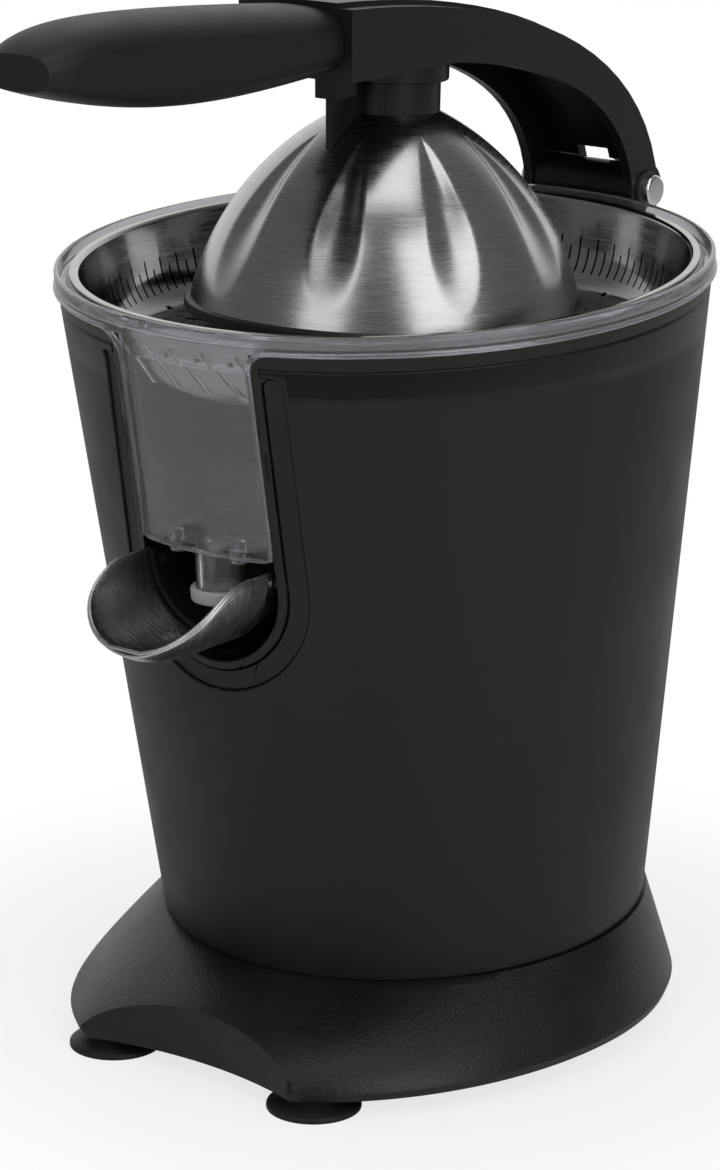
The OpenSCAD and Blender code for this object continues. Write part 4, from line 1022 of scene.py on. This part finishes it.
def make_dome():
    """The pressed dome: its mesh columns follow the creases along the flutes."""
    heights = [0, 1.5, 3]
    heights += [FLUTE_LOW + FLUTE_END * (1 - cos(radians(90 * k / 12))) for k in range(13)]
    heights += [FLUTE_LOW + FLUTE_END + (FLUTE_TOP - FLUTE_LOW - FLUTE_END) * k / 26 for k in range(1, 27)]
    heights += [FLUTE_TOP + (DOME_H - DOME_WALL - FLUTE_TOP) * k / 4 for k in range(1, 5)]
    outline = [(dome_radius(h), h) for h in heights] + [(dome_radius(DOME_H), DOME_H)]
    outline += [(DOME_HOLE_R, DOME_H), (DOME_HOLE_R, DOME_H - DOME_WALL)]
    outline += [(dome_radius(h, DOME_WALL), h) for h in reversed(heights)]
    count = sizes().groove_count
    across, land = 16, 18
    columns = count * (across + land)
    bm = lathe_bm(outline, columns)
    depth = sizes().groove_depth * 1000
    for vert in bm.verts:
        h = vert.co.z
        r = Vector((vert.co.x, vert.co.y)).length
        column = round(atan2(vert.co.y, vert.co.x) / (2 * pi) * count * (across + land)) % columns
        sector, k = divmod(column, across + land)
        half = flute_half(h)
        edge = max(half, 0.5) / r
        turn = -pi / 2 + pi / count + 2 * pi * sector / count
        if k <= across:
            t = 2 * k / across - 1
            turn += edge * t
            fade = min(1.0, max(0.0, h - FLUTE_LOW) / FLUTE_END)
            press = depth * (half / FLUTE_HALF) * (1 - t * t) ** 1.5 * fade
        else:
            turn += edge + (2 * pi / count - 2 * edge) * (k - across) / land
            press = 0.0
        slope = atan2(h - DOME_AXIS, r + DOME_IN)
        near = r - press * cos(slope)
        vert.co = Vector((near * cos(turn), near * sin(turn), h - press * sin(slope)))
    dome = piece("steel_dome", bm, DOME, 22)
    steel = brushed("dome steel", shade(colours().steel, 0.88), 0.24, (0.15, 0.15, 8.0), 0.006)
    finish(dome, steel, "arm", ["press_dome"])

    ring = rounded([(53.6, -3.5, 0.8), (57.7, -3.5, 1.2), (57.7, -0.1, 1.0), (56.2, 0, 0.3), (53.6, 0)])
    seal = piece("dome_seal", lathe_bm(ring, 160), DOME)
    finish(seal, rubber("ring rubber", colours().rubber, 0.45), "arm", ["dome_ring"])

    z = DOME_H
    neck = rounded([
        (9, z - 8), (9, z), (NECK_R, z, 0.3), (NECK_R, z + NECK_H), (AXIS, z + NECK_H), (AXIS, z - 8),
    ])
    stem = piece("neck_stem", lathe_bm(neck, 96), DOME)
    ribs = bmesh.new()
    for a in (-118, -62, 62, 118):
        bar(ribs, turned(a, "Z") @ moved(NECK_R, 0, z + 4.6), 1.2, 1.6, 8.6)
    join(stem, piece("neck_ribs", ribs, DOME))
    black = moulded("hub black", colours().arm, 0.36, 0.5, 0.012, 0.12)
    finish(stem, black, "arm", ["dome_neck"])
    z += NECK_H
    hub = rounded([(AXIS, z), (HUB_R, z, 0.8), (HUB_R, z + 8.9), (AXIS, z + 8.9)])
    collar = piece("hub_collar", lathe_bm(hub, 112), DOME)
    finish(collar, black, "arm", ["arm_collar"])
    brace = soften(copy_of("dome_brace", "hub_brace"), 0.3)
    finish(brace, black, "arm", ["dome_brace"])


# ---- arm, grip and button

PIN_HALF, PIN_HEAD = 21.0, 2.6
SEAM_Y, GRIP_L, GRIP_W = -144.0, 112.0, 37.0
BUTTON_Y, BUTTON_LOW, BUTTON_HIGH = -88.5, 59.2, 64.2


def make_arm():
    arm = soften(copy_of("lever_arm", "arm_channel"), 0.9, 3, 38)
    finish(arm, moulded("arm black", colours().arm, 0.42, 0.3, 0.01, 0.08), "arm", ["lever_arm"])

    end, bar_r, head_r = PIN_HALF, 4, 4.6
    head = rounded([(AXIS, end), (head_r, end), (head_r, end + PIN_HEAD, 1.0), (AXIS, end + PIN_HEAD)])
    across = HINGE @ turned(90, "Y")
    pin = piece("pin_bar", lathe_bm([(AXIS, -end), (bar_r, -end), (bar_r, end), (AXIS, end)], 64), across)
    for turn in (0, 180):
        join(pin, piece("pin_head", lathe_bm(head, 64), across @ turned(turn, "X")))
    finish(pin, polished("pin chrome", (0.72, 0.72, 0.73), 0.12), "housing", ["hinge_pin"])


def grip_half(t):
    """Half the grip's width at the share t of its length."""
    return GRIP_W / 2 * (0.94 + 0.06 * sin(pi * t)) * (1 - 0.36 * t ** 9)


def grip_top(t):
    """The grip's top above the hinge."""
    return 70 + 6 * sin(radians(100) * t) - 6.5 * t ** 9


def grip_low(t):
    """The grip's underside above the hinge."""
    return 51 - 2.5 * sin(radians(165) * t) + 9.5 * t ** 3


def make_grip():
    rings = []
    steps, sides = 48, 72
    for j in range(steps + 1):
        t = sin(pi / 2 * j / steps)
        top, low, half = grip_top(t), grip_low(t), grip_half(t)
        mid, tall = (top + low) / 2, (top - low) / 2
        ring = []
        for i in range(sides):
            a = 2 * pi * i / sides
            c, s = cos(a), sin(a)
            x = half * copysign(abs(c) ** 0.72, c)
            z = mid + tall * copysign(abs(s) ** 0.72, s)
            # a finger hollow along each side
            side = max(0.0, 1 - ((z - mid + 1.5) / (tall * 0.62)) ** 2)
            run = max(0.0, sin(pi * min(1.0, max(0.0, (t - 0.16) / 0.78)))) ** 0.6
            x -= copysign(1.5 * side * run, x)
            ring.append(Vector((x, SEAM_Y - 0.3 - (GRIP_L - 0.3) * t, z)))
        rings.append(ring)
    grip = piece("soft_grip", loft_bm(rings), HINGE)
    soften(grip, 1.2, 3, 55)
    finish(grip, rubber("grip rubber", colours().grip, 0.5), "arm", ["grip_sleeve"])


def make_button():
    oval = arc(0, 4.5, 5, 0, 180, 24) + arc(0, -4.5, 5, 180, 360, 24)
    button = piece("oval_button", prism_bm(oval, BUTTON_LOW, BUTTON_HIGH, "Z"), HINGE @ moved(0, BUTTON_Y, 0))
    soften(button, 0.9, 4, 50)
    chrome = polished("button chrome", (0.75, 0.75, 0.76), 0.16)
    finish(button, chrome, "button", ["release_button"])


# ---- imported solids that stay


def paint_inside():
    dark = moulded("inner black", (0.03, 0.03, 0.032), 0.5, 0.6, 0.02)
    repaint(dark, "base_plate", "body_floor", "gear_chassis", "gear_cover", "top_deck", "cord_gland",
            "pin_washers")
    zinc = polished("plated steel", (0.5, 0.5, 0.5), 0.28)
    repaint(zinc, "base_screws", "bracket_screws", "motor_screws", "collar_screws", "spout_pins", "motor_can",
            "motor_rotor", "press_spring", "button_spring", "dome_nut")
    ground = brushed("ground steel", (0.55, 0.55, 0.54), 0.25, (0.1, 0.1, 3))
    repaint(ground, "drive_shaft", "cluster_axle")
    nylon = moulded("gear nylon", (0.72, 0.69, 0.6), 0.4, 0.8, 0.01, 0.06)
    repaint(nylon, "output_gear", "cluster_gear", "shaft_sleeve")
    bronze = polished("bearing bronze", (0.42, 0.27, 0.13), 0.35)
    repaint(bronze, "shaft_bush", "motor_pinion")
    repaint(rubber("seal rubber", (0.2, 0.2, 0.2), 0.6), "shaft_seal")
    repaint(moulded("switch blue", (0.03, 0.07, 0.14), 0.4, 0.8, 0.01), "switch_body")
    repaint(moulded("switch red", (0.45, 0.06, 0.04), 0.4, 0.8, 0.01), "switch_plunger")


# ---- stage

CAMERA_AT = (0.6876, -0.9032, 0.4526)
CAMERA_BACK = (0.5915, -0.7571, 0.2773)
LENS = 123.08
FLOOR_R = 4
WHITE = (1, 1, 1, 1)
PANEL_AWAY = 1.5
EYE_AZ = 38


def make_world():
    """White behind the object, and a dimmer room with a pale far wall for its light and reflections."""
    world = bpy.data.worlds.new("studio")
    bpy.context.scene.world = world
    world.use_nodes = True
    sky = Tree(world.node_tree)
    rays = sky.tree.nodes.new("ShaderNodeLightPath").outputs
    seen = Wire(sky, rays["Is Camera Ray"]).maths("MAXIMUM", Wire(sky, rays["Is Transmission Ray"]))
    glossy = Wire(sky, rays["Is Glossy Ray"])
    way = sky.node("ShaderNodeTexCoord", output="Generated")
    back = Vector(CAMERA_BACK)
    across = sky.node("ShaderNodeVectorMath", {"operation": "DOT_PRODUCT"}, {0: way, 1: back}, "Value")
    share = (across.ramp(-0.2, -0.75) * glossy).maths("MAXIMUM", seen)
    light = bpy.context.scene.press_stage.room
    dim = sky.node("ShaderNodeBackground", {}, {
        "Color": WHITE, "Strength": glossy.maths("MULTIPLY_ADD", -0.4 * light, light),
    })
    white = sky.node("ShaderNodeBackground", {}, {"Color": WHITE, "Strength": 1.0})
    mix = sky.node("ShaderNodeMixShader", {}, {0: share, 1: dim, 2: white})
    surface = sky.tree.nodes.new("ShaderNodeOutputWorld")
    sky.put(surface.inputs["Surface"], mix)


def panel(name, azimuth, elevation, wide, tall, power):
    """A lit panel that faces the middle of the object from that side."""
    lamp = bpy.data.lights.new(name, "AREA")
    lamp.shape = "RECTANGLE"
    lamp.size, lamp.size_y = wide, tall
    lamp.energy = power
    obj = bpy.data.objects.new(name, lamp)
    a, e = radians(azimuth), radians(elevation)
    way = Vector((sin(a) * cos(e), -cos(a) * cos(e), sin(e)))
    obj.location = way * PANEL_AWAY + Vector((0, 0, 0.16))
    obj.rotation_mode = "QUATERNION"
    obj.rotation_quaternion = (Vector((0, 0, 0.17)) - obj.location).to_track_quat("-Z", "Y")
    bpy.context.scene.collection.objects.link(obj)


def make_stage():
    scene = bpy.context.scene
    stage = scene.press_stage
    scene.view_settings.view_transform = "Standard"
    make_world()
    bm = bmesh.new()
    bmesh.ops.create_circle(bm, cap_ends=True, segments=96, radius=FLOOR_R)
    mesh = bpy.data.meshes.new("floor")
    bm.to_mesh(mesh)
    bm.free()
    floor = bpy.data.objects.new("floor", mesh)
    scene.collection.objects.link(floor)
    paint = Paint("pale floor")
    cloud = paint.noise(90, 2)
    paint.set(base_color=paint.blend(cloud.ramp(0.3, 0.7), stage.floor, shade(stage.floor, 0.985)),
              roughness=cloud.ramp(0.3, 0.7, 0.4, 0.5))
    # the camera sees the floor fade into the white round it
    away = paint.node("ShaderNodeVectorMath", {"operation": "LENGTH"}, {0: paint.place()}, output=1)
    seen = paint.node("ShaderNodeLightPath", output="Is Camera Ray")
    glow = paint.node("ShaderNodeEmission", {}, {"Color": WHITE, "Strength": 1.0})
    lit = Wire(paint, paint.shader.outputs[0])
    white = away.ramp(0.09, 0.22, 0.76, 1.0) * seen
    mix = paint.node("ShaderNodeMixShader", {}, {0: white, 1: lit, 2: glow})
    paint.put(paint.surface.inputs["Surface"], mix)
    mesh.materials.append(paint.material)
    floor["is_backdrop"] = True

    panel("panel right", EYE_AZ + 33, 30, 0.9, 1.5, stage.key_power)
    panel("panel left", EYE_AZ - 38, 30, 0.7, 1.5, stage.fill_power)
    panel("panel top", EYE_AZ, 86, 0.9, 0.9, stage.top_power)

    camera = bpy.data.cameras.new("camera")
    camera.lens = LENS
    camera.sensor_width = 36
    camera.clip_start, camera.clip_end = 0.05, 50
    eye = bpy.data.objects.new("camera", camera)
    eye.location = CAMERA_AT
    eye.rotation_mode = "QUATERNION"
    eye.rotation_quaternion = (-Vector(CAMERA_BACK)).to_track_quat("-Z", "Y")
    scene.collection.objects.link(eye)
    scene.camera = eye


# ---- operators


class PRESS_OT_foot(bpy.types.Operator):
    """Make the flared foot and its suction cups"""

    bl_idname = "press.foot"
    bl_label = "Foot"

    def execute(self, context):
        make_foot()
        return {"FINISHED"}


class PRESS_OT_body(bpy.types.Operator):
    """Make the body shell, its trim band and the hinge block"""

    bl_idname = "press.body"
    bl_label = "Body"

    def execute(self, context):
        make_body()
        return {"FINISHED"}


class PRESS_OT_mouth(bpy.types.Operator):
    """Make the band, frame and lining of the spout's mouth"""

    bl_idname = "press.mouth"
    bl_label = "Mouth"

    def execute(self, context):
        make_mouth()
        return {"FINISHED"}


class PRESS_OT_spout(bpy.types.Operator):
    """Make the steel lip and its trough"""

    bl_idname = "press.spout"
    bl_label = "Spout"

    def execute(self, context):
        make_spout()
        return {"FINISHED"}


class PRESS_OT_collector(bpy.types.Operator):
    """Make the clear rim, bowl, window and nozzle"""

    bl_idname = "press.collector"
    bl_label = "Clear collector"

    def execute(self, context):
        make_collector()
        return {"FINISHED"}


class PRESS_OT_strainer(bpy.types.Operator):
    """Make the steel strainer"""

    bl_idname = "press.strainer"
    bl_label = "Strainer"

    def execute(self, context):
        make_strainer()
        return {"FINISHED"}


class PRESS_OT_reamer(bpy.types.Operator):
    """Make the ribbed reamer"""

    bl_idname = "press.reamer"
    bl_label = "Reamer"

    def execute(self, context):
        make_reamer()
        return {"FINISHED"}


class PRESS_OT_dome(bpy.types.Operator):
    """Make the grooved dome and its hub"""

    bl_idname = "press.dome"
    bl_label = "Dome"

    def execute(self, context):
        make_dome()
        return {"FINISHED"}


class PRESS_OT_arm(bpy.types.Operator):
    """Make the lever arm and its pin"""

    bl_idname = "press.arm"
    bl_label = "Arm"

    def execute(self, context):
        make_arm()
        return {"FINISHED"}


class PRESS_OT_grip(bpy.types.Operator):
    """Make the soft grip"""

    bl_idname = "press.grip"
    bl_label = "Grip"

    def execute(self, context):
        make_grip()
        return {"FINISHED"}


class PRESS_OT_button(bpy.types.Operator):
    """Make the release button"""

    bl_idname = "press.button"
    bl_label = "Release button"

    def execute(self, context):
        make_button()
        return {"FINISHED"}


class PRESS_OT_inside(bpy.types.Operator):
    """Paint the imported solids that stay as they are"""

    bl_idname = "press.inside"
    bl_label = "Inner parts"

    def execute(self, context):
        paint_inside()
        return {"FINISHED"}


class PRESS_OT_stage(bpy.types.Operator):
    """Make the floor, the light and the camera"""

    bl_idname = "press.stage"
    bl_label = "Stage"

    def execute(self, context):
        make_stage()
        return {"FINISHED"}


STEPS = (
    PRESS_OT_foot, PRESS_OT_body, PRESS_OT_mouth, PRESS_OT_spout, PRESS_OT_collector, PRESS_OT_strainer,
    PRESS_OT_reamer, PRESS_OT_dome, PRESS_OT_arm, PRESS_OT_grip, PRESS_OT_button, PRESS_OT_inside,
    PRESS_OT_stage,
)


class PRESS_PT_panel(bpy.types.Panel):
    """Steps and settings of the citrus press"""

    bl_idname = "PRESS_PT_panel"
    bl_label = "Citrus press"
    bl_space_type = "VIEW_3D"
    bl_region_type = "UI"
    bl_category = "Citrus press"

    def draw(self, context):
        for step in STEPS:
            self.layout.operator(step.bl_idname)
        for group in (context.scene.press_sizes, context.scene.press_colours, context.scene.press_stage):
            box = self.layout.box()
            for key in group.__annotations__:
                box.prop(group, key)


CLASSES = (PressSizes, PressColours, PressStage) + STEPS + (PRESS_PT_panel,)


def register():
    for cls in CLASSES:
        bpy.utils.register_class(cls)
    bpy.types.Scene.press_sizes = bpy.props.PointerProperty(type=PressSizes)
    bpy.types.Scene.press_colours = bpy.props.PointerProperty(type=PressColours)
    bpy.types.Scene.press_stage = bpy.props.PointerProperty(type=PressStage)


def unregister():
    del bpy.types.Scene.press_stage
    del bpy.types.Scene.press_colours
    del bpy.types.Scene.press_sizes
    for cls in reversed(CLASSES):
        bpy.utils.unregister_class(cls)


def visual_box(made):
    """Corners of the box round the pieces that were made."""
    spots = [obj.matrix_world @ v.co for obj in made for v in obj.data.vertices]
    return [[f(p[i] for p in spots) for i in range(3)] for f in (min, max)]


def main():
    packed_box = [list(corner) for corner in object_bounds()]
    before = set(bpy.data.objects)
    register()
    for step in STEPS:
        operate = getattr(bpy.ops.press, step.bl_idname.split(".")[1])
        if operate() != {"FINISHED"}:
            raise RuntimeError(f"{step.bl_idname} did not finish")
    made = [o for o in bpy.data.objects if o not in before and o.type == "MESH" and o.name != "floor"]
    {"cad_box": packed_box, "visual_box": visual_box(made)}


if __name__ == "__main__":
    main()
